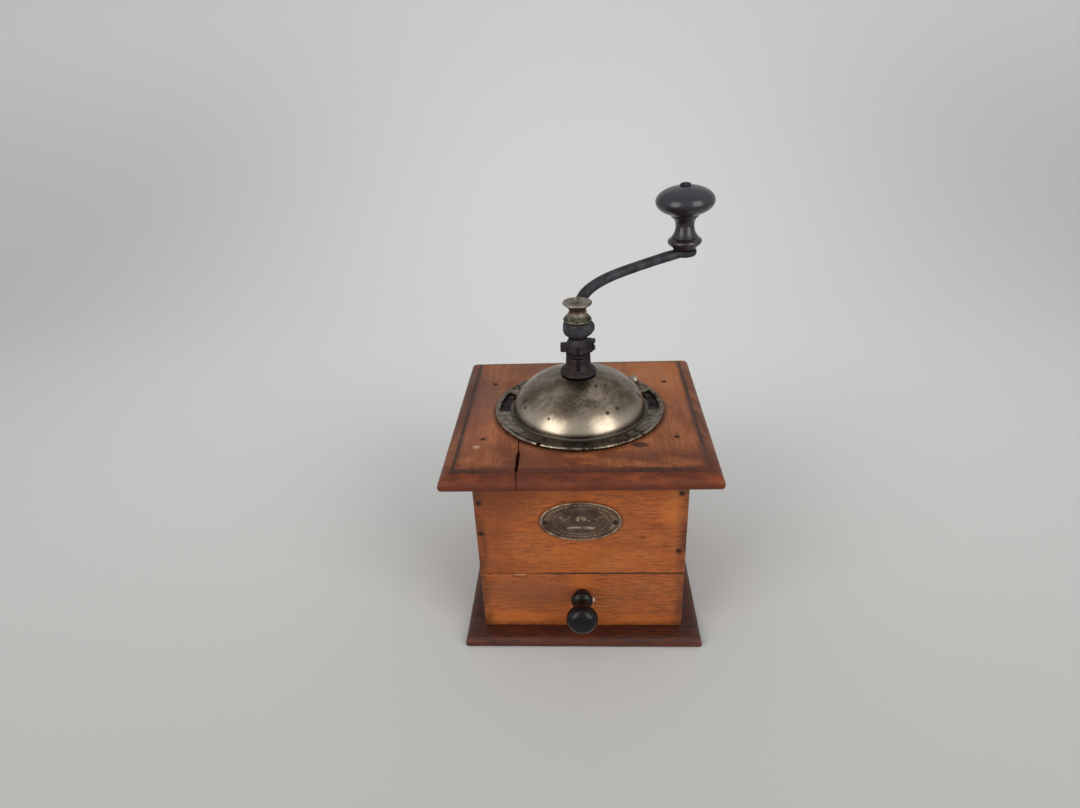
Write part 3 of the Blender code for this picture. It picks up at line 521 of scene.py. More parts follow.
FRONT_TONES = ((0.335, 0.088, 0.017), (0.255, 0.063, 0.013), (0.135, 0.033, 0.009), (0.040, 0.013, 0.006))
TOP_TONES = ((0.335, 0.112, 0.040), (0.235, 0.070, 0.024), (0.125, 0.031, 0.012), (0.036, 0.011, 0.006))
BASE_TONES = ((0.115, 0.025, 0.009), (0.034, 0.009, 0.0055), (0.012, 0.007, 0.0065), (0.006, 0.005, 0.005))
BARE_TONES = ((0.52, 0.33, 0.17), (0.43, 0.25, 0.12), (0.28, 0.15, 0.07), (0.10, 0.05, 0.028))
STAIN = (0.030, 0.011, 0.007)
GLOW = (0.40, 0.118, 0.021)
SPLINTER = (0.55, 0.34, 0.20)


def nail_stains(nodes):
    """Dark bleed into the wood round each of these nails."""
    found = []
    for node in nodes:
        low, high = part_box(node)
        centre = (low + high) / 2
        if high.y - low.y > high.z - low.z:
            centre.y = low.y if centre.y < 0 else high.y
        else:
            centre.z = high.z
        found.append((centre, (1.9, 2.0, 1.9), STAIN, 0.75))
    return found


def panel_wood():
    face = -CASE_HALF
    marks = [((-55.2 * MM, face, 69 * MM), (1.3, 3, 8.5), STAIN, 0.5),
             ((-46 * MM, face, 102 * MM), (20, 3, 13), FRONT_TONES[2], 0.8),
             ((-50 * MM, face, 80 * MM), (10, 3, 26), FRONT_TONES[2], 0.45),
             ((11 * MM, face, 59 * MM), (32, 3, 8), GLOW, 0.25),
             ((52 * MM, face, 92 * MM), (6, 3, 12), GLOW, 0.45)]
    nails = nail_stains([f"front_panel_nail_{n}" for n in range(1, 5)])
    return wood("varnished_front", FRONT_TONES, 0, 2.0, 1.2, marks=marks + nails, extra=case_dirt_and_shade)


def drawer_wood():
    face = -CASE_HALF
    marks = [((0, face, 40 * MM), (7, 3, 7), (0.36, 0.10, 0.024), 0.7),
             ((-36 * MM, face, 47 * MM), (3.2, 3, 0.7), SPLINTER, 0.3),
             ((6.4 * MM, face, 27.6 * MM), (1.0, 2, 1.3), (0.80, 0.68, 0.50), 1.0),
             ((-38 * MM, face, 13 * MM), (24, 3, 5), GLOW, 0.45),
             ((30 * MM, face, 12 * MM), (25, 3, 4), GLOW, 0.3),
             ((-34 * MM, face, 33 * MM), (26, 3, 10), (0.15, 0.048, 0.018), 0.6),
             ((0, face, 12 * MM), (16, 3, 4), FRONT_TONES[2], 0.5)]

    def curl(skin_, colour):
        """The fine broken figure on the right of the drawer front."""
        patch = skin_.spot((36 * MM, face, 32 * MM), (24, 3, 11), 0.3)
        lines = skin_.ramp(skin_.grain((2.6, 3, 0.9), 77.0, 3.0, 0.6, 1.2), 0.5, 0.62)
        patch = skin_.maths("MULTIPLY", skin_.maths("MULTIPLY", patch, lines), 0.6)
        return case_dirt_and_shade(skin_, skin_.blend(patch, colour, (0.14, 0.05, 0.02)))

    return wood("varnished_drawer", FRONT_TONES, 0, 11.0, 1.3, marks=marks, extra=curl)


def top_wood():
    marks = [((33.3 * MM, -43.2 * MM, TOP_FACE), (4.5, 2.6, 3), STAIN, 0.9),
             ((-2.0 * MM, -59.5 * MM, TOP_FACE), (10, 3.6, 3), (0.12, 0.028, 0.012), 0.75),
             ((2.5 * MM, -61.5 * MM, TOP_FACE), (4, 1.6, 3), (0.42, 0.12, 0.03), 0.6),
             ((-57.3 * MM, -43.6 * MM, TOP_FACE), (1.9, 1.7, 2), SPLINTER, 0.95),
             # Painted sheen: this greyish mark and the next three, down the left edge, stand in for the grazing
             # reflection on the varnish at the left and back.
             ((-61.8 * MM, -12.7 * MM, TOP_FACE), (8, 9, 3), (0.16, 0.06, 0.04), 0.5),
             ((-58 * MM, 20 * MM, TOP_FACE), (9, 26, 3), (0.13, 0.055, 0.042), 0.6),
             ((-62 * MM, -40 * MM, TOP_FACE), (6, 14, 3), (0.22, 0.08, 0.045), 0.45),
             ((-75 * MM, 30 * MM, TOP_UNDER), (12, 50, 20), (0.07, 0.035, 0.030), 0.7),
             ((52 * MM, 45 * MM, TOP_FACE), (20, 30, 3), (0.46, 0.155, 0.045), 0.5),
             # Painted sheen: a greyish mark at the back, like those at the left.
             ((-30 * MM, 58 * MM, TOP_FACE), (30, 10, 3), (0.10, 0.040, 0.028), 0.35)]
    nails = nail_stains([f"top_board_nail_{n}" for n in range(1, 5)])
    return wood("varnished_top", TOP_TONES, 1, 23.0, 0.75, (0.36, 0.58), marks + nails, groove_dirt_and_shade, 0.06, 0.19)


def metal(name, tones, gloss, pits, seed, size=14.0, metallic=1.0, depth=0.05, extra=None):
    """Tarnished or rusty metal. Tones are clean, dull and pit colours."""
    clean, dull, pit = tones
    skin_ = Finish(name, metallic=metallic)
    cloud = skin_.grain((size,) * 3, seed, 6.0, 0.62)
    colour = skin_.blend(skin_.ramp(cloud, 0.36, 0.66), clean, dull)
    speck = skin_.grain((size / 9,) * 3, seed + 4, 4.0, 0.7)
    colour = skin_.blend(skin_.ramp(speck, 0.48, 0.75, 0.0, 0.6), colour, dull)
    hole = skin_.ramp(skin_.grain((size / 12,) * 3, seed + 8, 2.0, 0.5), 0.74 - 0.14 * pits, 0.82 - 0.14 * pits)
    colour = skin_.blend(skin_.maths("MULTIPLY", hole, 0.85), colour, pit)
    if extra is not None:
        colour, hole = extra(skin_, colour, hole)
    rough = skin_.ramp(cloud, 0.32, 0.7, *gloss)
    rough = skin_.maths("MULTIPLY_ADD", hole, 0.25, rough)
    rough = skin_.maths("MULTIPLY_ADD", skin_.ramp(speck, 0.4, 0.7), 0.08, rough)
    shine = skin_.maths("MULTIPLY_ADD", hole, -0.6 * metallic, metallic)
    height = skin_.maths("MULTIPLY_ADD", hole, -1.0, skin_.maths("MULTIPLY", speck, 0.5))
    return skin_.done(colour, rough, height, depth, shine)


DOME_PITS = ((41.0, 31.0, 1.5), (35.5, 32.0, 1.2), (-50.0, 33.5, 1.3), (-118.0, 36.0, 0.8),
             (-62.0, 34.0, 1.3), (-156.0, 34.0, 1.9), (-150.0, 36.0, 1.1), (-72.0, 30.0, 0.7),
             (-103.0, 31.5, 0.8), (-8.0, 36.0, 2.0), (-57.0, 18.0, 1.3), (-40.0, 20.0, 1.2))


def dome_height(radius):
    return DOME_Z + DOME_H * math.sqrt(max(0.0, 1 - (radius / DOME_R) ** 2))


def dome_stains_and_painted_light(skin_, colour, hole):
    """Rust below the collar, dirt in the gutter, and the deeper pits; also painted light: a painted highlight band low
    on the front, painted shadow in the crease at the dome's foot, and painted shade on the front of the brim.
    """
    radius = skin_.maths("SQRT", skin_.maths("ADD", skin_.maths("POWER", skin_.x, 2.0),
                                             skin_.maths("POWER", skin_.y, 2.0)))
    streaks = skin_.ramp(skin_.grain((5, 5, 30), 61.0, 4.0, 0.6), 0.35, 0.7, 0.2, 1.0)
    neck = skin_.maths("MULTIPLY", skin_.ramp(radius, 26 * MM, 11 * MM, 0.0, 0.8), streaks)
    colour = skin_.blend(neck, colour, (0.070, 0.050, 0.040))
    # Painted highlight: cleaner, paler metal low on the dome's front, where the softbox highlights fall.
    painted_highlight_band = skin_.maths("MULTIPLY", skin_.ramp(skin_.z, DOME_Z + 14 * MM, DOME_Z + 5 * MM, 0.0, 0.85),
                         skin_.ramp(skin_.y, -12 * MM, -26 * MM, 0.35, 1.0))
    colour = skin_.blend(painted_highlight_band, colour, (0.41, 0.355, 0.285))
    tarnish = skin_.ramp(skin_.grain((7, 7, 7), 63.0, 5.0, 0.65), 0.42, 0.60, 0.0, 0.6)
    high_up = skin_.ramp(skin_.z, DOME_Z + 8 * MM, DOME_Z + 15 * MM, 0.15, 1.0)
    colour = skin_.blend(skin_.maths("MULTIPLY", tarnish, high_up), colour, (0.105, 0.078, 0.050))
    bloom = skin_.maths("MULTIPLY", skin_.spot((13 * MM, -15 * MM, 149 * MM), (10, 7, 7), 0.6, 5.0), 0.75)
    colour = skin_.blend(bloom, colour, (0.40, 0.315, 0.23))
    speckle = skin_.ramp(skin_.grain((1.5, 1.5, 1.5), 65.0, 3.0, 0.6), 0.60, 0.70)
    upper = skin_.ramp(skin_.z, DOME_Z + 9 * MM, DOME_Z + 17 * MM, 0.1, 0.7)
    colour = skin_.blend(skin_.maths("MULTIPLY", speckle, upper), colour, (0.065, 0.046, 0.034))
    scab = skin_.spot((-1 * MM, -27 * MM, 143 * MM), (8, 6, 4), 0.5, 7.0)
    scab = skin_.maths("MULTIPLY", scab, skin_.ramp(skin_.grain((1.3, 1.3, 1.3), 68.0, 2.0), 0.46, 0.58, 0.0, 0.8))
    colour = skin_.blend(scab, colour, (0.055, 0.040, 0.028))
    # Painted shadow in the crease where the dome meets its brim.
    foot = skin_.band(radius, 39.6 * MM, 41.2 * MM, 0.8 * MM)
    colour = skin_.blend(skin_.maths("MULTIPLY", foot, 0.8), colour, (0.035, 0.025, 0.018))
    dirt = skin_.ramp(skin_.grain((5, 5, 5), 67.0, 5.0, 0.68), 0.40, 0.62)
    gutter = skin_.ramp(radius, 41.0 * MM, 42.0 * MM)
    colour = skin_.blend(skin_.maths("MULTIPLY", gutter, skin_.maths("MULTIPLY_ADD", dirt, 0.75, 0.2)),
                         colour, (0.050, 0.036, 0.026))
    # Painted shade: the front of the brim is made darker.
    ahead = skin_.maths("MULTIPLY", gutter, skin_.ramp(skin_.y, -30 * MM, -44 * MM, 0.0, 0.88))
    colour = skin_.blend(ahead, colour, (0.028, 0.019, 0.014))
    worn = skin_.ramp(skin_.grain((4, 4, 4), 69.0, 3.0, 0.6), 0.40, 0.60, 0.0, 0.65)
    lip = skin_.maths("MULTIPLY", skin_.ramp(radius, 49.0 * MM, 49.8 * MM), worn)
    colour = skin_.blend(lip, colour, (0.36, 0.30, 0.23))
    for azimuth, distance, size in DOME_PITS:
        turn = math.radians(azimuth)
        centre = (distance * MM * math.cos(turn), distance * MM * math.sin(turn), dome_height(distance * MM))
        pit = skin_.spot(centre, (size,) * 3, 0.4, azimuth)
        colour = skin_.blend(pit, colour, (0.03, 0.022, 0.017))
        hole = skin_.maths("MAXIMUM", hole, pit)
    return colour, hole


def verdigris_and_shade(skin_, colour, hole):
    """Green in the finial's foot, painted shade under its cup."""
    low = skin_.band(skin_.z, FINIAL_LOW + 0.9 * MM, FINIAL_LOW + 2.8 * MM, 1.0 * MM)
    patchy = skin_.ramp(skin_.grain((3, 3, 2), 71.0, 4.0), 0.3, 0.6, 0.35, 1.0)
    colour = skin_.blend(skin_.maths("MULTIPLY", low, patchy), colour, (0.048, 0.052, 0.030))
    # Painted shade in the waist under the cup.
    neck = skin_.band(skin_.z, FINIAL_LOW + 5.6 * MM, FINIAL_LOW + 8.2 * MM, 1.0 * MM)
    colour = skin_.blend(skin_.maths("MULTIPLY", neck, 0.8), colour, (0.07, 0.040, 0.032))
    pale = skin_.ramp(skin_.grain((2.2, 2.2, 2.2), 73.0, 4.0, 0.7), 0.42, 0.60)
    rim = skin_.maths("MULTIPLY", skin_.ramp(skin_.z, FINIAL_LOW + 9.2 * MM, FINIAL_LOW + 10.2 * MM), pale)
    colour = skin_.blend(skin_.maths("MULTIPLY", rim, 0.7), colour, (0.40, 0.36, 0.33))
    edge = skin_.ramp(skin_.z, FINIAL_LOW + 0.9 * MM, FINIAL_LOW + 0.5 * MM, 0.0, 0.7)
    return skin_.blend(edge, colour, (0.42, 0.38, 0.31)), hole


def plate_dirt(skin_, colour, hole):
    """Black dirt in the plate's recesses and metal worn bright on its high places."""
    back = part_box("name_plate")[1].y
    rise = skin_.maths("ADD", skin_.maths("MULTIPLY", skin_.y, -1.0), back)
    rise = skin_.maths("MULTIPLY_ADD", skin_.grain((1.6, 1.6, 1.6), 81.0, 3.0), 0.16 * MM, rise)
    deep = skin_.ramp(rise, 0.84 * MM, 0.68 * MM, 0.0, 0.8)
    colour = skin_.blend(deep, colour, (0.016, 0.010, 0.007))
    raised = skin_.ramp(rise, 0.90 * MM, 1.10 * MM)
    patchy = skin_.ramp(skin_.grain((6, 6, 6), 83.0, 3.0), 0.40, 0.60, 0.05, 0.9)
    colour = skin_.blend(skin_.maths("MULTIPLY", raised, patchy), colour, (0.48, 0.38, 0.28))
    for side in ("left", "right"):
        low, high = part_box(f"name_plate_pin_{side}")
        middle = (low + high) / 2
        middle.y = back
        bleed = skin_.spot(middle, (1.6, 3, 1.4), 0.2)
        colour = skin_.blend(skin_.maths("MULTIPLY", bleed, 0.95), colour, (0.010, 0.007, 0.006))
        deep = skin_.maths("MAXIMUM", deep, bleed)
    return colour, skin_.maths("MAXIMUM", hole, deep)


def polish(name, seed, tint, gloss=(0.31, 0.37), specular=0.4, coat=0.35, blur=0.15):
    """Black lacquer over turned wood, worn brown where it is handled, with a painted bluish reflection on top of the
    crank knob's head.
    """
    skin_ = Finish(name, specular=specular, coat=coat, coat_roughness=blur)
    cloud = skin_.grain((16, 16, 9), seed, 4.0, 0.6)
    colour = skin_.blend(skin_.ramp(cloud, 0.42, 0.72), [0.5 * part for part in tint], tint)
    # Painted reflection: the top of the crank knob's head is tinted bluish where it faces up.
    head = skin_.ramp(skin_.z, EYE_TOP + 25 * MM, EYE_TOP + 34 * MM, 0.0, 0.8)
    colour = skin_.blend(head, colour, (0.009, 0.010, 0.019))
    streak = skin_.grain((1.6, 1.6, 14), seed + 3, 3.0, 0.6)
    colour = skin_.blend(skin_.ramp(streak, 0.5, 0.8, 0.0, 0.4), colour, [1.6 * part for part in tint])
    scratch = skin_.ramp(skin_.grain((7, 7, 0.3), seed + 7, 2.0), 0.66, 0.78)
    rough = skin_.ramp(cloud, 0.3, 0.7, *gloss)
    rough = skin_.maths("MULTIPLY_ADD", scratch, 0.2, rough)
    height = skin_.maths("MULTIPLY_ADD", scratch, -0.5, skin_.maths("MULTIPLY", streak, 0.2))
    return skin_.done(colour, rough, height, 0.015)


NICKEL_TONES = ((0.33, 0.272, 0.210), (0.150, 0.115, 0.083), (0.035, 0.024, 0.017))
RUST_TONES = ((0.014, 0.009, 0.011), (0.022, 0.010, 0.010), (0.050, 0.019, 0.013))
CRANK_TONES = ((0.040, 0.040, 0.050), (0.014, 0.014, 0.018), (0.085, 0.062, 0.060))
NUT_TONES = ((0.024, 0.020, 0.022), (0.012, 0.009, 0.010), (0.050, 0.026, 0.020))
CAST_TONES = ((0.10, 0.098, 0.095), (0.055, 0.050, 0.047), (0.09, 0.05, 0.03))
BURR_TONES = ((0.36, 0.35, 0.34), (0.22, 0.20, 0.18), (0.10, 0.06, 0.04))
FINIAL_TONES = ((0.30, 0.255, 0.205), (0.120, 0.095, 0.075), (0.035, 0.025, 0.020))
PLATE_TONES = ((0.235, 0.155, 0.108), (0.075, 0.046, 0.030), (0.022, 0.014, 0.010))
FASTENER_TONES = ((0.040, 0.030, 0.026), (0.022, 0.015, 0.012), (0.050, 0.022, 0.014))

FRONT_WOOD = panel_wood()
DRAWER_FACE = drawer_wood()
SIDE_WOOD = wood("varnished_sides", FRONT_TONES, 2, 31.0, extra=case_dirt_and_shade)
BACK_WOOD = wood("varnished_back", FRONT_TONES, 0, 37.0, extra=case_dirt_and_shade,
                 marks=nail_stains([f"back_board_nail_{n}" for n in range(1, 5)]))
TOP_WOOD = top_wood()
BASE_WOOD = wood("varnished_base", BASE_TONES, 0, 43.0, 1.2, (0.32, 0.5))
BARE_WOOD = wood("bare_wood", BARE_TONES, 1, 53.0, 0.8, (0.6, 0.8), coat=0.0)
NICKEL = metal("tarnished_nickel", NICKEL_TONES, (0.23, 0.30), 0.25, 3.0, 15.0, depth=0.03, extra=dome_stains_and_painted_light)
RUSTY = metal("rusty_iron", RUST_TONES, (0.45, 0.75), 0.8, 9.0, 6.0, 0.55, 0.14)
CRANK_IRON = metal("blued_iron", CRANK_TONES, (0.50, 0.68), 0.7, 15.0, 7.0, 0.5, 0.16)
NUT_IRON = metal("nut_iron", NUT_TONES, (0.45, 0.68), 0.8, 19.0, 5.0, 0.5, 0.2)
CAST_IRON = metal("cast_iron", CAST_TONES, (0.5, 0.75), 0.5, 21.0, 8.0, 0.7, 0.2)
BURR_STEEL = metal("burr_steel", BURR_TONES, (0.28, 0.5), 0.3, 27.0, 8.0, 1.0, 0.04)
FINIAL_METAL = metal("finial_brass", FINIAL_TONES, (0.36, 0.55), 0.85, 33.0, 5.0, 1.0, 0.10, verdigris_and_shade)
PLATE_METAL = metal("plate_metal", PLATE_TONES, (0.34, 0.52), 0.5, 39.0, 8.0, 1.0, 0.05, plate_dirt)
FASTENER = metal("fastener_iron", FASTENER_TONES, (0.4, 0.65), 0.6, 45.0, 3.0, 0.7, 0.06)
BLACK = polish("black_polish", 5.0, (0.017, 0.010, 0.017))
DRAWER_BLACK = polish("black_drawer_knob", 8.0, (0.006, 0.005, 0.005), (0.20, 0.26), 0.16, 0.12, 0.10)


# Boards

def punched(nodes, width, depth=1.6 * MM):
    """Ragged little pits where nail heads have sunk into a board's face."""
    shapes = []
    for number, node in enumerate(nodes):
        low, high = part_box(node)
        middle = (low + high) / 2
        upright = high.z - low.z > high.y - low.y
        out = Vector((0, 0, 1)) if upright else Vector((0, math.copysign(1, middle.y), 0))
        top = Vector((middle.x, middle.y, high.z)) if upright else \
            Vector((middle.x, high.y if middle.y > 0 else low.y, middle.z))
        outline = [(0, 2 * MM), (width * 1.25, 2 * MM), (width * 1.2, 0), (width, -0.5 * MM),
                   (width * 0.95, -depth), (0, -depth)]
        work = lathe(outline, 14, aim(top, out))
        for vert in work.verts:
            vert.co += Vector((noise.noise(vert.co / (2 * MM) + Vector((number, 0, 0))) * 0.25 * MM, 0, 0))
        shapes.append(work)
    return shapes


def plank(name, node, finish, body, radius=0.8, spacing=5.0, wear=0.35, seed=0.0, pits=(), drop=0.0):
    """One board: eased, worn edges, and pits for its nails. Drop lowers its lower edge."""
    low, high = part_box(node)
    low.z -= drop * MM
    work = eased_block(low, high, radius * MM, spacing * MM)
    weather(work, 0.12 * MM, 17 * MM, seed, wear * MM)
    made = bare(work)
    if pits:
        carve(made, *punched(pits, 0.95 * MM))
    return show(name, made, finish, body, [node], 50)


def square_ring(half, height, corner, per_side=30):
    """Loop of a square with rounded corners, with points gathered at the corners."""
    tight = 1.6 * MM / TOP_HALF
    shares = [-1, -1 + tight / 2, -1 + tight]
    shares += [-1 + tight + (2 - 2 * tight) * k / per_side for k in range(1, per_side)]
    shares += [1 - tight, 1 - tight / 2]
    loop = []
    for turn in range(4):
        for share in shares:
            point = Vector((share * half, -half))
            core = Vector([max(corner - half, min(half - corner, value)) for value in point])
            away = point - core
            if corner > 0 and away.length > 0:
                point = core + away.normalized() * corner
            point.rotate(Matrix.Rotation(turn * math.pi / 2, 2))
            loop.append(Vector((point.x, point.y, height)))
    return loop


def round_ring(radius, height, like):
    """Loop of a circle whose points lie in the directions of another loop's points."""
    loop = []
    for point in like:
        flat = Vector((point.x, point.y)).normalized() * radius
        loop.append(Vector((flat.x, flat.y, height)))
    return loop


def between(first, second, steps):
    """The loops that lie between two loops."""
    return [[a.lerp(b, k / steps) for a, b in zip(first, second)] for k in range(1, steps)]


def crack_cutter():
    """Jagged split from the hopper out through the front moulding."""
    loops = []
    steps = 46
    start, end = -24 * MM, -TOP_HALF - 1 * MM
    for k in range(steps + 1):
        share = k / steps
        y = start + (end - start) * share
        lurch = 0.5 * noise.noise(Vector((y / (9 * MM), 3.1, 0))) + 0.32 * noise.noise(Vector((y / (2.3 * MM), 7, 0)))
        x = (-33.9 + 0.9 * share + lurch) * MM
        swell = 0.5 + 0.5 * noise.noise(Vector((y / (6 * MM), 11.3, 2.0)))
        ahead = max(0.0, min(1.0, (y + 47 * MM) / (-6 * MM)))
        wide = (0.28 + (0.45 + 0.75 * swell) * ahead) * MM
        if y < -FIELD - 0.5 * MM:
            wide = 0.33 * MM
        low = TOP_UNDER + 1.2 * MM
        loops.append([(x - wide * 0.5, y, low), (x + wide * 0.5, y, low),
                      (x + wide, y, TOP_FACE + 1 * MM), (x - wide, y, TOP_FACE + 1 * MM)])
    return skin(loops)


def top_board():
    half = TOP_HALF
    edge = soft([(half - 2.6 * MM, TOP_UNDER), (half - 0.5 * MM, TOP_UNDER + 0.9 * MM), (half, TOP_UNDER + 3.2 * MM),
                 (half - 0.5 * MM, TOP_UNDER + 5.3 * MM), (half - 2.2 * MM, TOP_UNDER + 7.0 * MM),
                 (half - 4.8 * MM, TOP_UNDER + 8.1 * MM), (half - 7.5 * MM, TOP_UNDER + 8.6 * MM),
                 (half - 7.9 * MM, TOP_FACE - 0.1 * MM), (half - 9.4 * MM, TOP_FACE)], 0.9 * MM, 2)
    squares = [square_ring(reach, height, 1.3 * MM) for reach, height in edge]
    hole, rebate = 40.3 * MM, FLANGE_R + 0.4 * MM
    floor = TOP_FACE - 5 * MM
    mouth = round_ring(rebate, TOP_FACE, squares[0])
    under = round_ring(hole, TOP_UNDER, squares[0])
    loops = [under] + between(under, squares[0], 4) + squares + between(squares[-1], mouth, 8)
    loops += [mouth, round_ring(rebate, floor, mouth), round_ring(hole, floor, mouth)]
    work = skin(loops, ring=True)
    weather(work, 0.16 * MM, 15 * MM, 4.0, 0.5 * MM)
    made = bare(work)
    grooves = []
    for sign in (-1, 1):
        near, far = sorted((sign * 40.0 * MM, sign * 49.7 * MM))
        grooves.append(block((near, -3.4 * MM, 121.9 * MM), (far, 13.4 * MM, TOP_FACE + 2 * MM)))
    nails = [f"top_board_nail_{n}" for n in range(1, 5)]
    carve(made, crack_cutter(), *grooves, *punched(nails, 0.85 * MM))
    show("top_board_wood", made, TOP_WOOD, "case", ["top_board"], 42)


def base_board():
    low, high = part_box("base_board")
    half, top = high.x, high.z
    edge = soft([(half - 1.2 * MM, 0), (half - 0.1 * MM, 0.9 * MM), (half, 2.4 * MM), (half - 0.2 * MM, 4.0 * MM),
                 (half - 1.3 * MM, 5.5 * MM), (half - 3.0 * MM, 6.45 * MM), (half - 5.2 * MM, top)], 0.7 * MM, 2)
    rows = [square_ring(half - 12 * MM, 0, 0.2 * MM)]
    rows += [square_ring(reach, height, 1.2 * MM) for reach, height in edge]
    rows += [square_ring(reach * MM, top, 0.2 * MM) for reach in (62.5, 60.0, 57.0)]
    work = weather(skin(rows), 0.14 * MM, 14 * MM, 7.0, 0.5 * MM)
    for vert in work.verts:
        if vert.co.z < 0.3 * MM:
            vert.co.z = 0
    made = bare(work)
    holes = []
    for number in range(1, 5):
        foot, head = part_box(f"base_screw_{number}")
        middle = (foot + head) / 2
        holes.append(lathe(millimetres((0, -2), (3.5, -2), (3.5, 0.9), (1.7, 2.6), (0, 2.6)), 24,
                           Matrix.Translation((middle.x, middle.y, 0))))
    carve(made, *holes)
    show("base_board_wood", made, BASE_WOOD, "case", ["base_board"], 42)


def case_boards():
    front_nails = [f"front_panel_nail_{n}" for n in range(1, 5)]
    back_nails = [f"back_board_nail_{n}" for n in range(1, 5)]
    plank("front_panel_wood", "front_panel", FRONT_WOOD, "case", 0.5, seed=1.0, pits=front_nails,
          drop=0.35)
    plank("back_board_wood", "back_board", BACK_WOOD, "case", seed=2.0, pits=back_nails)
    plank("left_side_wood", "left_side_board", SIDE_WOOD, "case", 0.5, seed=3.0)
    plank("right_side_wood", "right_side_board", SIDE_WOOD, "case", 0.5, seed=4.0)
    for side in ("left", "right"):
        plank(f"{side}_guide_wood", f"{side}_drawer_guide", BARE_WOOD, "case", 0.5, seed=5.0)


def drawer_boards():
    plank("drawer_front_wood", "drawer_front", DRAWER_FACE, "drawer", 0.5, 4.0, 0.15, seed=6.0)
    for part in ("left_side", "right_side", "back", "bottom"):
        plank(f"drawer_{part}_wood", f"drawer_{part}", BARE_WOOD, "drawer", 0.5, seed=8.0)


def drawer_knob():
    low = 0.3
    points = [(0, 13.0), (1.9, 13.0), (1.9, low), (4.5, low), (4.7, 1.2), (5.4, 1.9)]
    points += arc((3.5, 5.2), (2.9, 2.9), -55, 70, 10)
    points += [(3.7, 9.4), (3.75, 11.0), (3.9, 12.6), (5.4, 14.2)]
    points += arc((4.3, 20.2), (4.7, 5.2), -60, 82, 14)
    points += [(2.6, 25.5), (0, 25.6)]
    turned = lathe(soft(millimetres(*points), 0.4 * MM, 2), FINE, aim((0, -CASE_HALF, 32 * MM), (0, -1, 0)))
    show("drawer_knob_turned", bare(turned), DRAWER_BLACK, "drawer", ["drawer_knob"])


# Name plate

def plate_relief(x, z):
    """Height of the plate's face in mm, from 0 to 1, at a place in mm from its middle."""
    wide, tall = 23.0, 13.0
    round_ = math.hypot(x / wide, z / tall)
    inward = (1 - round_) * tall
    turn = math.atan2(z / tall, x / wide)
    height = 0.36
    height += 0.64 * math.exp(-((inward - 0.45) / 0.34) ** 2)
    height += 0.36 * math.exp(-((inward - 4.3) / 0.24) ** 2)
    beads = 44
    across = (inward - 2.3) / 1.0
    height += 0.50 * max(0.0, 1 - across * across) * (0.5 + 0.5 * math.cos(turn * beads)) ** 0.7
    inner = 0.0
    for side in (-1, 1):
        for step in range(4):
            cx, cz = side * (4.2 + 2.3 * step), 1.4 + 0.55 * step - 0.18 * step * step
            lean = side * 0.55 * (1 if step % 2 else -1) + side * 0.1
            dx, dz = x - cx, z - cz - (1.15 if step % 2 else -0.95)
            u = dx * math.cos(lean) + dz * math.sin(lean)
            v = -dx * math.sin(lean) + dz * math.cos(lean)
            leaf = 1 - (u / 1.75) ** 2 - (v / 0.72) ** 2
            inner = max(inner, 0.55 * max(0.0, leaf) ** 0.5 - 0.2 * math.exp(-(v / 0.12) ** 2) * (leaf > 0))
    for side in (-1, 1):
        dx, dz = x - side * 1.55, z - 1.7
        lean = side * 0.5
        u = dx * math.cos(lean) + dz * math.sin(lean)
        v = -dx * math.sin(lean) + dz * math.cos(lean)
        bean = 1 - (u / 1.35) ** 2 - (v / 2.1) ** 2
        crease = math.exp(-((u - 0.35 * math.sin(v * 1.4)) / 0.22) ** 2)
        inner = max(inner, (0.85 * max(0.0, bean) ** 0.5) * (1 - 0.6 * crease))
    bar = max(abs(x) / 8.6, abs(z + 4.1 + 0.012 * x * x) / 0.85)
    inner = max(inner, 0.95 * max(0.0, 1 - bar ** 6))
    return min(1.0, height + 0.68 * inner * (inward > 4.6))


def name_plate():
    """Oval plate: raised rim, beaded border, and a sprig with two coffee beans over a plain bar."""
    low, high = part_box("name_plate")
    middle = (low + high) / 2
    wide, tall = (high.x - low.x) / 2 / MM, (high.z - low.z) / 2 / MM
    back, front = high.y, low.y
    facets, rings = 208, 62
    loops = []
    for share, depth in ((0.96, 0), (0.985, 0.25)):
        loops.append([(share * wide, share * tall, depth)] * facets)
    rows = []
    for share, depth in ((0.97, 0.0), (1.0, 0.35)):
        rows.append([(share * wide * math.cos(t), share * tall * math.sin(t), depth)
                     for t in (2 * math.pi * k / facets for k in range(facets))])
    for ring in range(rings):
        share = 0.997 * (1 - ring / rings) + 0.012
        row = []
        for k in range(facets):
            turn = 2 * math.pi * k / facets
            x, z = share * wide * math.cos(turn), share * tall * math.sin(turn)
            worn = 0.06 * noise.noise(Vector((x / 4, z / 4, 1.0)))
            row.append((x, z, 0.42 + 0.66 * min(1.0, plate_relief(x, z) + worn)))
        rows.append(row)
    place = []
    for row in rows:
        place.append([(middle.x + x * MM, max(front, back - depth * MM), middle.z + z * MM) for x, z, depth in row])
    made = bare(skin(place))
    show("name_plate_relief", made, PLATE_METAL, "case", ["name_plate"], 60)


# Fasteners

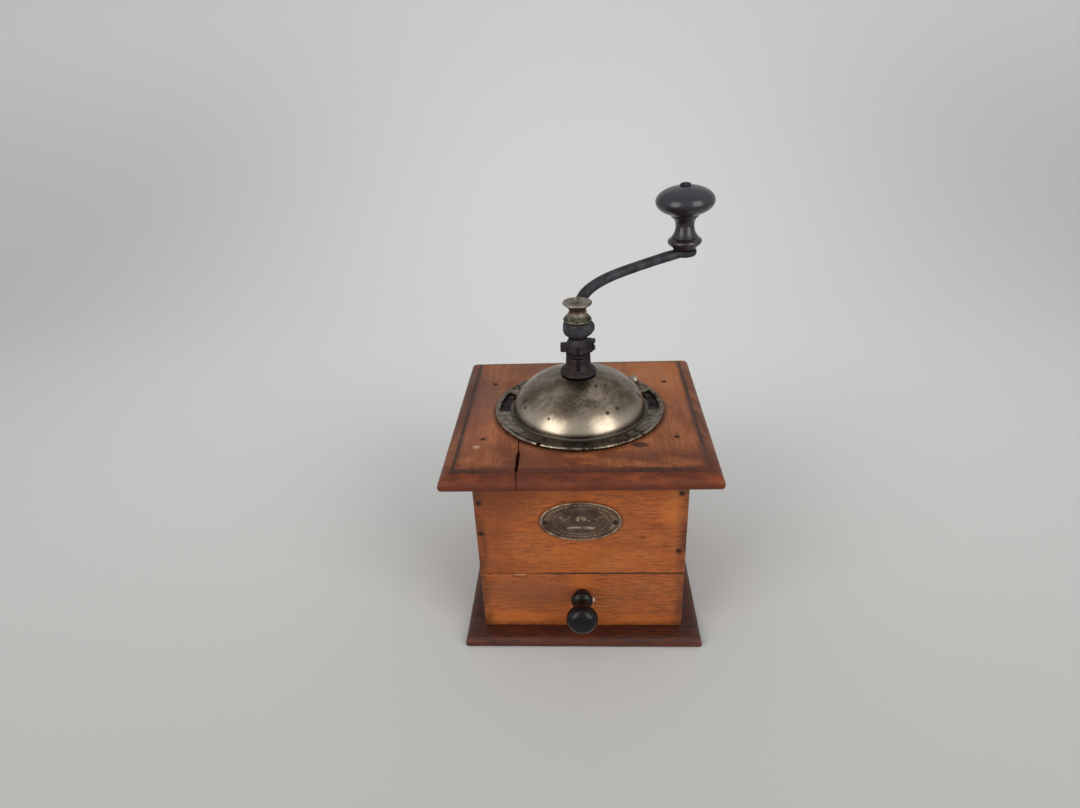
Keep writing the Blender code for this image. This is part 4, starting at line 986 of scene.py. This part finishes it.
def fastener(node, slot_width=0.0, finish=None, body="case", sink=0.0, dome=0.25):
    """A nail or screw with a slightly domed, hammered head, and a slot if it has one."""
    low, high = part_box(node)
    sizes = high - low
    axis = max(range(3), key=lambda k: sizes[k])
    middle = (low + high) / 2
    head_first = {0: middle.x > 0, 1: middle.y > 0, 2: True}[axis]
    if node.startswith(("base_screw", "bridge_screw")):
        head_first = False
    if node == "drawer_knob_screw":
        head_first = True
    out = Vector([0, 0, 0])
    out[axis] = 1 if head_first else -1
    top = middle.copy()
    top[axis] = high[axis] if head_first else low[axis]
    length = sizes[axis]
    radius = min(sizes[k] for k in range(3) if k != axis) / 2
    shank = radius * (0.5 if slot_width else 0.58)
    if slot_width:
        body_line = [(radius, -0.5 * MM), (shank * 1.15, -1.7 * MM)]
        pitch = 0.8 * MM
        turn = -2.6 * MM
        while turn > -length + 1.6 * MM:
            body_line += [(shank * 1.12, turn), (shank * 0.86, turn - pitch / 2)]
            turn -= pitch
    else:
        body_line = [(radius, -0.7 * MM), (shank, -1.1 * MM)]
    outline = [(0, -sink), (radius * 0.6, -sink - 0.02 * MM), (radius * 0.93, -sink - dome * 0.5 * MM)]
    outline += body_line + [(shank * 0.9, -length + 1.0 * MM), (0, -length)]
    work = lathe(outline, 20, aim(top, out))
    weather(work, 0.05 * MM, 1.3 * MM, 9.0)
    made = bare(work)
    if slot_width:
        deep = 0.7 * MM + sink
        cutter = block((-radius * 1.2, -slot_width / 2, -deep), (radius * 1.2, slot_width / 2, 1 * MM))
        cutter.transform(aim(top, out) @ Matrix.Rotation(math.radians(24), 4, "Z"))
        carve(made, cutter)
    show(f"{node}_forged", made, finish or FASTENER, body, [node], 30)


def fasteners():
    for number in range(1, 5):
        fastener(f"front_panel_nail_{number}", sink=0.45 * MM)
        fastener(f"back_board_nail_{number}", sink=0.45 * MM)
        fastener(f"top_board_nail_{number}", sink=0.3 * MM)
        fastener(f"base_screw_{number}", 0.8 * MM)
    for side in ("left", "right"):
        fastener(f"yoke_screw_{side}", 0.8 * MM, RUSTY)
        fastener(f"bridge_screw_{side}", 0.7 * MM)
        fastener(f"name_plate_pin_{side}")
    for side in ("front", "rear"):
        fastener(f"brim_screw_{side}", 0.7 * MM)
    fastener("drawer_knob_screw", 0.8 * MM, body="drawer")


# Hopper

DENTS = ((20.0, 24.0, 5.0, 0.22), (-48.0, 31.0, 3.2, 0.20), (-100.0, 22.0, 7.0, 0.18), (-150.0, 30.0, 5.0, 0.25),
         (80.0, 26.0, 7.0, 0.2), (-5.0, 35.0, 3.0, 0.22), (200.0, 20.0, 6.0, 0.15), (-70.0, 14.0, 4.0, 0.12))


def dome_line(inset, low_turn, top_radius, steps):
    """The dome's ellipse moved inward, from its foot up to the neck hole."""
    radius, height = DOME_R - inset, DOME_H - inset
    top_turn = math.degrees(math.acos(top_radius / radius))
    return arc((0, DOME_Z), (radius, height), low_turn, top_turn, steps)


def beat(work):
    """The slow waves and shallow dents of old spun sheet, the same on both its faces."""
    for vert in work.verts:
        radius = math.hypot(vert.co.x, vert.co.y)
        if radius > DOME_R - 0.5 * MM:
            turn = math.atan2(vert.co.y, vert.co.x)
            lip = min(1.0, (radius - DOME_R) / (BRIM_R - DOME_R)) if radius > DOME_R else 0.0
            wave = 0.5 + 0.5 * noise.noise(Vector((math.cos(turn) * 3.2, math.sin(turn) * 3.2, 5)))
            fine = 0.5 + 0.5 * noise.noise(Vector((math.cos(turn) * 14, math.sin(turn) * 14, 8)))
            shrink = 1 - (0.28 * wave + 0.16 * fine) * MM * lip / radius
            vert.co.x *= shrink
            vert.co.y *= shrink
            continue
        press = 0.10 * (0.5 + 0.5 * noise.noise(vert.co / (16 * MM)))
        for azimuth, distance, spread, depth in DENTS:
            turn = math.radians(azimuth)
            away = Vector((vert.co.x - distance * MM * math.cos(turn), vert.co.y - distance * MM * math.sin(turn)))
            press += depth * math.exp(-(away.length / (spread * MM)) ** 2)
        fade = min(1.0, (DOME_R - radius) / (4 * MM)) * min(1.0, (radius - 5 * MM) / (6 * MM))
        inward = Vector((vert.co.x / DOME_R ** 2, vert.co.y / DOME_R ** 2, (vert.co.z - DOME_Z) / DOME_H ** 2))
        vert.co -= inward.normalized() * press * MM * max(0.0, fade)
    return work


def dome_cover():
    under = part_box("dome_cover")[0].z
    outer = dome_line(0, 3.0, NECK_R, 34)
    inner = dome_line(SHEET, 0.5, NECK_R, 34)
    foot = soft([outer[0], (DOME_R - 0.1 * MM, BRIM_Z + 0.5 * MM), (DOME_R + 0.8 * MM, BRIM_Z - 0.15 * MM),
                 (43.5 * MM, BRIM_Z - 0.2 * MM), (46.6 * MM, BRIM_Z + 0.1 * MM), (48.2 * MM, BRIM_Z + 0.5 * MM)], 0.6 * MM)
    lip = arc((BRIM_R - 1.05 * MM, BRIM_Z + 0.15 * MM), (1.05 * MM, 1.05 * MM), 140, -50, 9)
    outline = list(reversed(outer)) + foot[1:] + lip
    outline += [(BRIM_R - 0.5 * MM, under), (DOME_R - SHEET, under)] + inner[1:]
    made = bare(beat(lathe(outline, FACETS * 5 // 4)))
    low, high = 124 * MM, 129 * MM
    windows = [sector(41.4 * MM, 47.9 * MM, *span, low, high, 12) for span in ((-6, 25), (155, 186))]
    opening = sector(30 * MM, 50 * MM, 33, 147, 128.2 * MM, 143.6 * MM, 48)
    notch = lathe([(0, low), (1.1 * MM, low), (1.5 * MM, high), (0, high)], 12,
                  Matrix.Translation((-22.6 * MM, -44.6 * MM, 0)))
    holes = [lathe([(0, low), (1.5 * MM, low), (1.5 * MM, BRIM_Z - 0.6 * MM), (2.7 * MM, BRIM_Z + 0.6 * MM),
                    (2.7 * MM, high), (0, high)], 24, Matrix.Translation((0, y, 0))) for y in (-45.6 * MM, 45.6 * MM)]
    carve(made, *windows, opening, notch, *holes)
    show("dome_cover_spun", made, NICKEL, "case", ["dome_cover"], 45)


def dome_door():
    inset = SHEET + 0.4 * MM
    outer = dome_line(inset, 3.0, 6.6 * MM, 26)
    inner = dome_line(inset + 0.9 * MM, 3.0, 6.6 * MM, 26)
    made = bare(beat(lathe(list(reversed(outer)) + inner, FACETS)))
    away = sector(13 * MM, 45 * MM, 151, 389, 124 * MM, 152 * MM, 60)
    turn = math.radians(37.5)
    outward = Vector((math.cos(turn), math.sin(turn), 0))
    place = aim(outward * 43.5 * MM + Vector((0, 0, 131 * MM)), outward)
    hole = lathe(millimetres((0, 4), (1.5, 4), (1.5, -12), (0, -12)), 16, place)
    carve(made, away, hole)
    show("dome_door_spun", made, NICKEL, "door", ["dome_door"], 45)
    ball = arc((0, 0), (2.75 * MM, 2.75 * MM), 84, -64, 18)
    stem = millimetres((1.1, -3.0), (1.1, -9.0), (2.0, -9.1), (2.0, -9.7), (0, -10.0))
    button = lathe([(0, 2.75 * MM)] + ball + stem, 40, place)
    show("door_button_turned", bare(weather(button, 0.06 * MM, 1.5 * MM, 2.0)), FINIAL_METAL, "door",
         ["door_button"])


def mill_yoke():
    low, high = 122.3 * MM, 124.8 * MM
    ear = soft([(30, -5.5), (41, -3.0), (49.3, -3.0), (49.3, 13.0), (41, 13.0), (30, 5.5)], 2.0, 4)
    outline = [(x * MM, y * MM) for x, y in ear]
    outline += [(-x, y) for x, y in reversed(outline)]
    bevel = 0.35 * MM
    loops = []
    for inset, z in ((bevel, low), (0, low + bevel), (0, high - bevel), (bevel, high)):
        loops.append([(x - math.copysign(inset, x), y - math.copysign(inset, y - 5 * MM), z) for x, y in outline])
    made = bare(skin(loops))
    tube = soft([(0, low - 1 * MM), (9 * MM, low - 1 * MM), (9 * MM, high + 1 * MM), (6.0 * MM, high + 4 * MM),
                 (6.0 * MM, COLLAR_TOP - 0.4 * MM), (0, COLLAR_TOP - 0.4 * MM)], 0.4 * MM)
    carve(made, lathe(tube, FINE), operation="UNION")
    bore = millimetres((0, 118), (4.6, 118), (4.6, 165), (0, 165))
    sinks = [lathe([(0, low - 1 * MM), (1.5 * MM, low - 1 * MM), (1.5 * MM, high - 1.2 * MM), (3.1 * MM, high + 0.3 * MM),
                    (3.1 * MM, high + 2 * MM), (0, high + 2 * MM)], 24, Matrix.Translation((x, 5 * MM, 0)))
             for x in (-45.2 * MM, 45.2 * MM)]
    carve(made, lathe(bore, FINE), *sinks)
    show("mill_yoke_forged", made, RUSTY, "case", ["mill_yoke"], 35)


def neck_collar():
    seat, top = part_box("neck_collar")[0].z, COLLAR_TOP + 0.3 * MM
    foot = 10.9 * MM
    drop = dome_height(foot) + 0.3 * MM
    outline = [(NECK_R, dome_height(NECK_R) + 0.3 * MM), (foot, max(seat, drop)), (foot + 0.2 * MM, drop + 1.0 * MM),
               (10.6 * MM, drop + 2.0 * MM), (9.7 * MM, drop + 3.0 * MM), (8.0 * MM, drop + 4.5 * MM),
               (7.4 * MM, drop + 6.2 * MM), (7.5 * MM, top - 0.9 * MM), (7.2 * MM, top), (NECK_R, top)]
    work = lathe(soft(outline, 0.7 * MM, 3), FINE)
    weather(work, 0.55 * MM, 2.6 * MM, 12.0, 0.4 * MM)
    made = bare(work)
    carve(made, block((-0.9 * MM, -9 * MM, 153.4 * MM), (0.8 * MM, -5 * MM, 163 * MM)))
    show("neck_collar_forged", made, RUSTY, "case", ["neck_collar"], 40)


# Spindle, adjuster and crank

def spindle():
    """Rod with a burr square, a crank square and rolled threads."""
    low, high = (corner.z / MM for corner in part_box("spindle"))
    loops = []

    def row(half, height, square=0.0):
        points = []
        for k in range(32):
            turn = 2 * math.pi * k / 32
            c, s = math.cos(turn), math.sin(turn)
            flat = half / max(abs(c), abs(s))
            reach = half + (min(flat, half * 1.3) - half) * square
            points.append((reach * c * MM, reach * s * MM, height * MM))
        loops.append(points)

    def thread(radius, start, end, pitch=0.7):
        height = start
        while height < end:
            row(radius, height)
            row(radius - 0.35, height + pitch / 2)
            height += pitch

    for half, height, square in ((2.2, low, 0), (3.0, low + 0.8, 0), (3.0, 66.2, 0), (3.2, 66.8, 1), (3.2, 83.6, 1),
                                 (3.8, 84.4, 0), (3.8, 159.2, 0), (3.0, 159.8, 1), (3.0, 162.8, 1)):
        row(half, height, square)
    thread(4.1, 163.3, 172.2)
    row(3.0, 172.6, 1)
    row(3.0, 181.1, 1)
    thread(2.9, 181.7, high - 0.8)
    row(2.3, high)
    show("spindle_turned", bare(skin(loops)), FASTENER, "spindle", ["spindle"], 50)


def thrust_washer():
    low, high = (corner.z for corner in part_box("thrust_washer"))
    high += 0.2 * MM
    outline = soft([(3.0 * MM, high), (7.2 * MM, high), (7.2 * MM, low), (3.0 * MM, low)], 0.25 * MM)
    outline = [(3.3 * MM, high)] + outline[1:-1] + [(3.3 * MM, low)]
    work = weather(lathe(outline, FINE), 0.15 * MM, 2.5 * MM, 6.0)
    show("thrust_washer_worn", bare(work), RUSTY, "washer", ["thrust_washer"], 35)


def wing_nut():
    """Adjusting nut, forged with a square ear on the left and a round ribbed one on the right."""
    low = NUT_LOW
    outline = soft([(4.9 * MM, low), (6.9 * MM, low), (7.3 * MM, low + 1.2 * MM), (7.0 * MM, low + 6.0 * MM),
                    (5.8 * MM, NUT_HIGH - 1.4 * MM), (5.5 * MM, NUT_HIGH), (4.9 * MM, NUT_HIGH)], 0.4 * MM)
    barrel = lathe(outline, FINE)
    left = block((-10.35 * MM, -2.5 * MM, 162.9 * MM), (-4.9 * MM, 2.5 * MM, 167.9 * MM))
    ear = [(4.9, 0.2), (8.0, 0.2), (9.0, 1.1), (9.4, 3.0), (9.4, 5.3), (8.7, 7.1), (7.2, 7.9), (4.9, 7.5)]
    right = skin([[(x * MM, y, low + (0.2 + z) * MM) for x, z in ear] for y in (-2.7 * MM, 2.7 * MM)])
    work = fuse(gather(barrel, left, right), 0.28 * MM, 3)
    weather(work, 0.4 * MM, 1.7 * MM, 3.0, 0.3 * MM)
    made = bare(work)
    ribs = []
    for k in range(5):
        x = (5.2 + 0.95 * k) * MM
        ribs.append(block((x, -3.2 * MM, low + 0.8 * MM), (x + 0.34 * MM, -2.35 * MM, low + 8.4 * MM)))
    for k in range(6):
        z = low + (1.2 + 1.1 * k) * MM
        ribs.append(block((8.6 * MM, -3.2 * MM, z), (10 * MM, 3.2 * MM, z + 0.35 * MM)))
    ribs.append(block((-0.8 * MM, -9 * MM, low - 1 * MM), (0.8 * MM, -5.9 * MM, low + 5.5 * MM)))
    carve(made, *ribs)
    show("adjuster_nut_forged", made, NUT_IRON, "adjuster", ["grind_adjuster_nut"], 40)


def smooth_route(points, per_span):
    """Catmull-Rom curve through the points."""
    ends = [2 * points[0] - points[1]] + points + [2 * points[-1] - points[-2]]
    route = []
    for a, b, c, d in zip(ends, ends[1:], ends[2:], ends[3:]):
        for k in range(per_span):
            t = k / per_span
            route.append(0.5 * (2 * b + (c - a) * t + (2 * a - 5 * b + 4 * c - d) * t * t
                                + (3 * b - a - 3 * c + d) * t ** 3))
    route.append(points[-1])
    return route


def knob_place():
    """Placement of the knob's leaning axis, heights counted from the top of the eye."""
    return Matrix.Translation(KNOB_FOOT) @ Matrix.Rotation(KNOB_LEAN, 4, "Y")


def crank_arm():
    """Forged arm, one skin with its hub and its eye."""
    stations = [(1.2, 3.6, 177.2), (2.0, 9.0, 177.6), (1.6, 12.6, 181.2), (1.4, 14.2, 186.8), (5.0, 16.6, 192.4),
                (13.0, 21.8, 196.7), (25.2, 29.2, 199.7), (43.6, 38.0, 202.9), (56.0, 43.3, 204.9), (64.0, 45.7, 206.0)]
    route = smooth_route([Vector(point) * MM for point in stations], 7)
    widths = (11.0, 8.0, 7.0, 6.6, 6.8, 9.0)
    loops = []
    for k, point in enumerate(route):
        ahead = route[min(k + 1, len(route) - 1)] - route[max(k - 1, 0)]
        tangent = ahead.normalized()
        side = tangent.cross(UP).normalized()
        rise = side.cross(tangent)
        place = k / (len(route) - 1) * (len(widths) - 1)
        base = min(int(place), len(widths) - 2)
        wide = (widths[base] + (widths[base + 1] - widths[base]) * (place - base)) * MM / 2
        thick = min(2.9, 2.05 + 0.13 * (len(route) - 1 - k)) * MM
        ring = []
        for step in range(20):
            turn = 2 * math.pi * (step + 0.5) / 20
            c, s = math.cos(turn), math.sin(turn)
            ring.append(point + side * wide * 0.99 * math.copysign(abs(c) ** 0.75, c)
                        + rise * thick * 0.99 * math.copysign(abs(s) ** 0.75, s))
        loops.append(ring)
    hub = []
    for radius, height, boss in ((6.2, HUB_LOW, 0), (7.6, HUB_LOW + 0.7 * MM, 0.1), (8.3, HUB_LOW + 2.0 * MM, 0.6),
                                 (8.6, HUB_LOW + 3.4 * MM, 1.3), (8.5, HUB_TOP - 2.6 * MM, 1.3),
                                 (8.2, HUB_TOP - 1.0 * MM, 0.3), (7.6, HUB_TOP - 0.1 * MM, 0)):
        turns = [2 * math.pi * k / 40 for k in range(40)]
        reach = [(radius + boss * max(0.0, math.cos(t)) ** 2) * MM for t in turns]
        hub.append([(r * math.cos(t), r * math.sin(t), height) for r, t in zip(reach, turns)])
    eye = lathe(soft(millimetres((0, -4.1), (6.2, -4.1), (7.3, -3.0), (7.3, -0.8), (6.6, -0.1), (0, -0.1)), 0.5 * MM),
                48, knob_place())
    work = fuse(gather(skin(loops), skin(hub), eye), 0.42 * MM, 4)
    weather(work, 0.14 * MM, 4.0 * MM, 5.0, 0.1 * MM)
    show("crank_arm_forged", bare(work), CRANK_IRON, "spindle", ["crank_arm"], 45)


def finial_nut():
    low, top = FINIAL_LOW, FINIAL_HIGH
    outline = [(3.2 * MM, 189.6 * MM), (3.2 * MM, low), (7.7 * MM, low), (8.2 * MM, low + 0.4 * MM),
               (8.1 * MM, low + 1.0 * MM), (7.6 * MM, low + 1.7 * MM), (6.7 * MM, low + 2.7 * MM),
               (5.4 * MM, low + 4.1 * MM), (4.8 * MM, low + 5.4 * MM), (4.9 * MM, low + 6.8 * MM),
               (6.0 * MM, low + 8.3 * MM), (8.0 * MM, low + 9.6 * MM), (8.5 * MM, low + 10.2 * MM),
               (8.4 * MM, top - 0.2 * MM), (7.9 * MM, top), (6.6 * MM, top - 0.5 * MM), (3.8 * MM, top - 1.6 * MM),
               (0.6 * MM, top - 1.9 * MM), (0, top - 1.9 * MM)]
    work = lathe([(0, 189.6 * MM)] + soft(outline, 0.5 * MM, 3), FINE * 5 // 4)
    weather(work, 0.10 * MM, 2.4 * MM, 14.0, 0.35 * MM)
    show("finial_nut_turned", bare(work), FINIAL_METAL, "spindle", ["finial_nut"], 48)


def crank_knob():
    base = 0.3
    foot = [(2.6, base), (6.7, base), (7.2, 1.0), (7.5, 1.7), (8.6, 2.3)]
    bead = arc((7.3, 4.7), (2.9, 2.25), -58, 62, 8)
    waist = [(8.35, 7.0), (7.55, 7.2), (7.95, 7.6), (7.3, 8.4), (6.4, 9.9), (5.8, 11.8), (5.5, 14.2), (5.75, 16.2), (6.5, 18.0), (8.0, 19.4)]
    head = arc((0, 28.6), (17.35, 8.9), -60, 80, 34)
    outline = soft(millimetres(*foot, *bead, *waist, *head), 0.45 * MM, 2) + millimetres((2.6, 37.4))
    work = lathe(outline, FACETS, knob_place())
    weather(work, 0.07 * MM, 9 * MM, 17.0)
    show("crank_knob_turned", bare(work), BLACK, "knob", ["crank_knob"], 40)
    top = 37.7
    rivet = soft(millimetres((0, -3.6), (2.2, -3.3), (2.2, top - 0.1), (3.5, top - 0.1), (3.3, top + 0.5),
                             (2.4, top + 1.1), (0, top + 1.5)), 0.3 * MM)
    pin = lathe(rivet, 32, knob_place())
    show("knob_pin_riveted", bare(weather(pin, 0.12 * MM, 1.6 * MM, 4.0)), CRANK_IRON, "spindle", ["knob_pin"],
         35)


def inner_mill():
    """The CAD pieces of the mill are right as they are, apart from their finish."""
    finishes = {"mill_housing": CAST_IRON, "lower_bridge": CAST_IRON, "outer_burr_ring": BURR_STEEL,
                "inner_burr": BURR_STEEL}
    for node, finish in finishes.items():
        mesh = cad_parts[node].data
        mesh.materials.clear()
        mesh.materials.append(finish)


# Studio

def studio():
    """Pale sweep, two large soft lights in front, and the camera."""
    sweep = []
    depth, radius, height = 2.0, 1.55, 2.9
    profile = [(-2.6, 0.0), (depth - radius, 0.0)]
    for k in range(1, 25):
        turn = math.radians(90 * k / 24)
        profile.append((depth - radius + radius * math.sin(turn), radius - radius * math.cos(turn)))
    profile.append((depth, height))
    work = bmesh.new()
    for x in (-4.0, 4.0):
        sweep.append([work.verts.new((x, y, z)) for y, z in profile])
    for k in range(len(profile) - 1):
        work.faces.new((sweep[0][k], sweep[1][k], sweep[1][k + 1], sweep[0][k + 1]))
    floor = bare(work, "paper_sweep")
    floor.data.shade_smooth()
    paper = Finish("pale_paper", specular=0.2)
    tooth = paper.grain((1.5, 1.5, 1.5), 1.0, 3.0)
    # Painted shading on the paper: darker in front and towards the sides, lighter at the back and higher up.
    shade = paper.blend(paper.ramp(paper.y, -0.40, 0.50), (0.385, 0.388, 0.382), (0.74, 0.745, 0.74))
    sides = paper.ramp(paper.maths("ABSOLUTE", paper.x), 0.05, 0.9, 0.0, 0.65)
    shade = paper.blend(sides, shade, (0.40, 0.405, 0.398))
    above = paper.ramp(paper.z, -0.05, 0.40, 0.0, 0.8)
    shade = paper.blend(above, shade, (0.68, 0.685, 0.68))
    floor.data.materials.append(paper.done(shade, 0.85, tooth, 0.02))

    for name, azimuth, power in (("left_softbox", -45, 11.8), ("right_softbox", 44, 12.9)):
        lamp = bpy.data.lights.new(name, "AREA")
        lamp.shape = "RECTANGLE"
        lamp.size, lamp.size_y = 0.85, 1.45
        lamp.energy = power
        lamp.color = (1.0, 0.965, 0.91)
        made = bpy.data.objects.new(name, lamp)
        bpy.context.scene.collection.objects.link(made)
        turn = math.radians(azimuth)
        away = Vector((math.sin(turn), -math.cos(turn), 0.12))
        made.location = (1.3 * math.sin(turn), -1.3 * math.cos(turn), 0.70)
        made.rotation_euler = away.to_track_quat("Z", "Y").to_euler()

    world = bpy.data.worlds.new("room")
    world.use_nodes = True
    world.node_tree.nodes["Background"].inputs["Color"].default_value = (0.95, 0.965, 0.975, 1)
    world.node_tree.nodes["Background"].inputs["Strength"].default_value = 0.70
    bpy.context.scene.world = world
    bpy.context.scene.view_settings.view_transform = "Standard"

    lens = bpy.data.cameras.new("camera")
    lens.sensor_width = 36.0
    lens.lens = 23.97
    lens.clip_start = 0.01
    camera = bpy.data.objects.new("camera", lens)
    bpy.context.scene.collection.objects.link(camera)
    camera.location = (0.00266, -0.38371, 0.33054)
    camera.rotation_euler = [math.radians(angle) for angle in (62.246, 2.4156, 2.6418)]
    bpy.context.scene.camera = camera


case_boards()
base_board()
top_board()
drawer_boards()
drawer_knob()
name_plate()
fasteners()
dome_cover()
dome_door()
mill_yoke()
neck_collar()
spindle()
thrust_washer()
wing_nut()
crank_arm()
finial_nut()
crank_knob()
inner_mill()
studio()
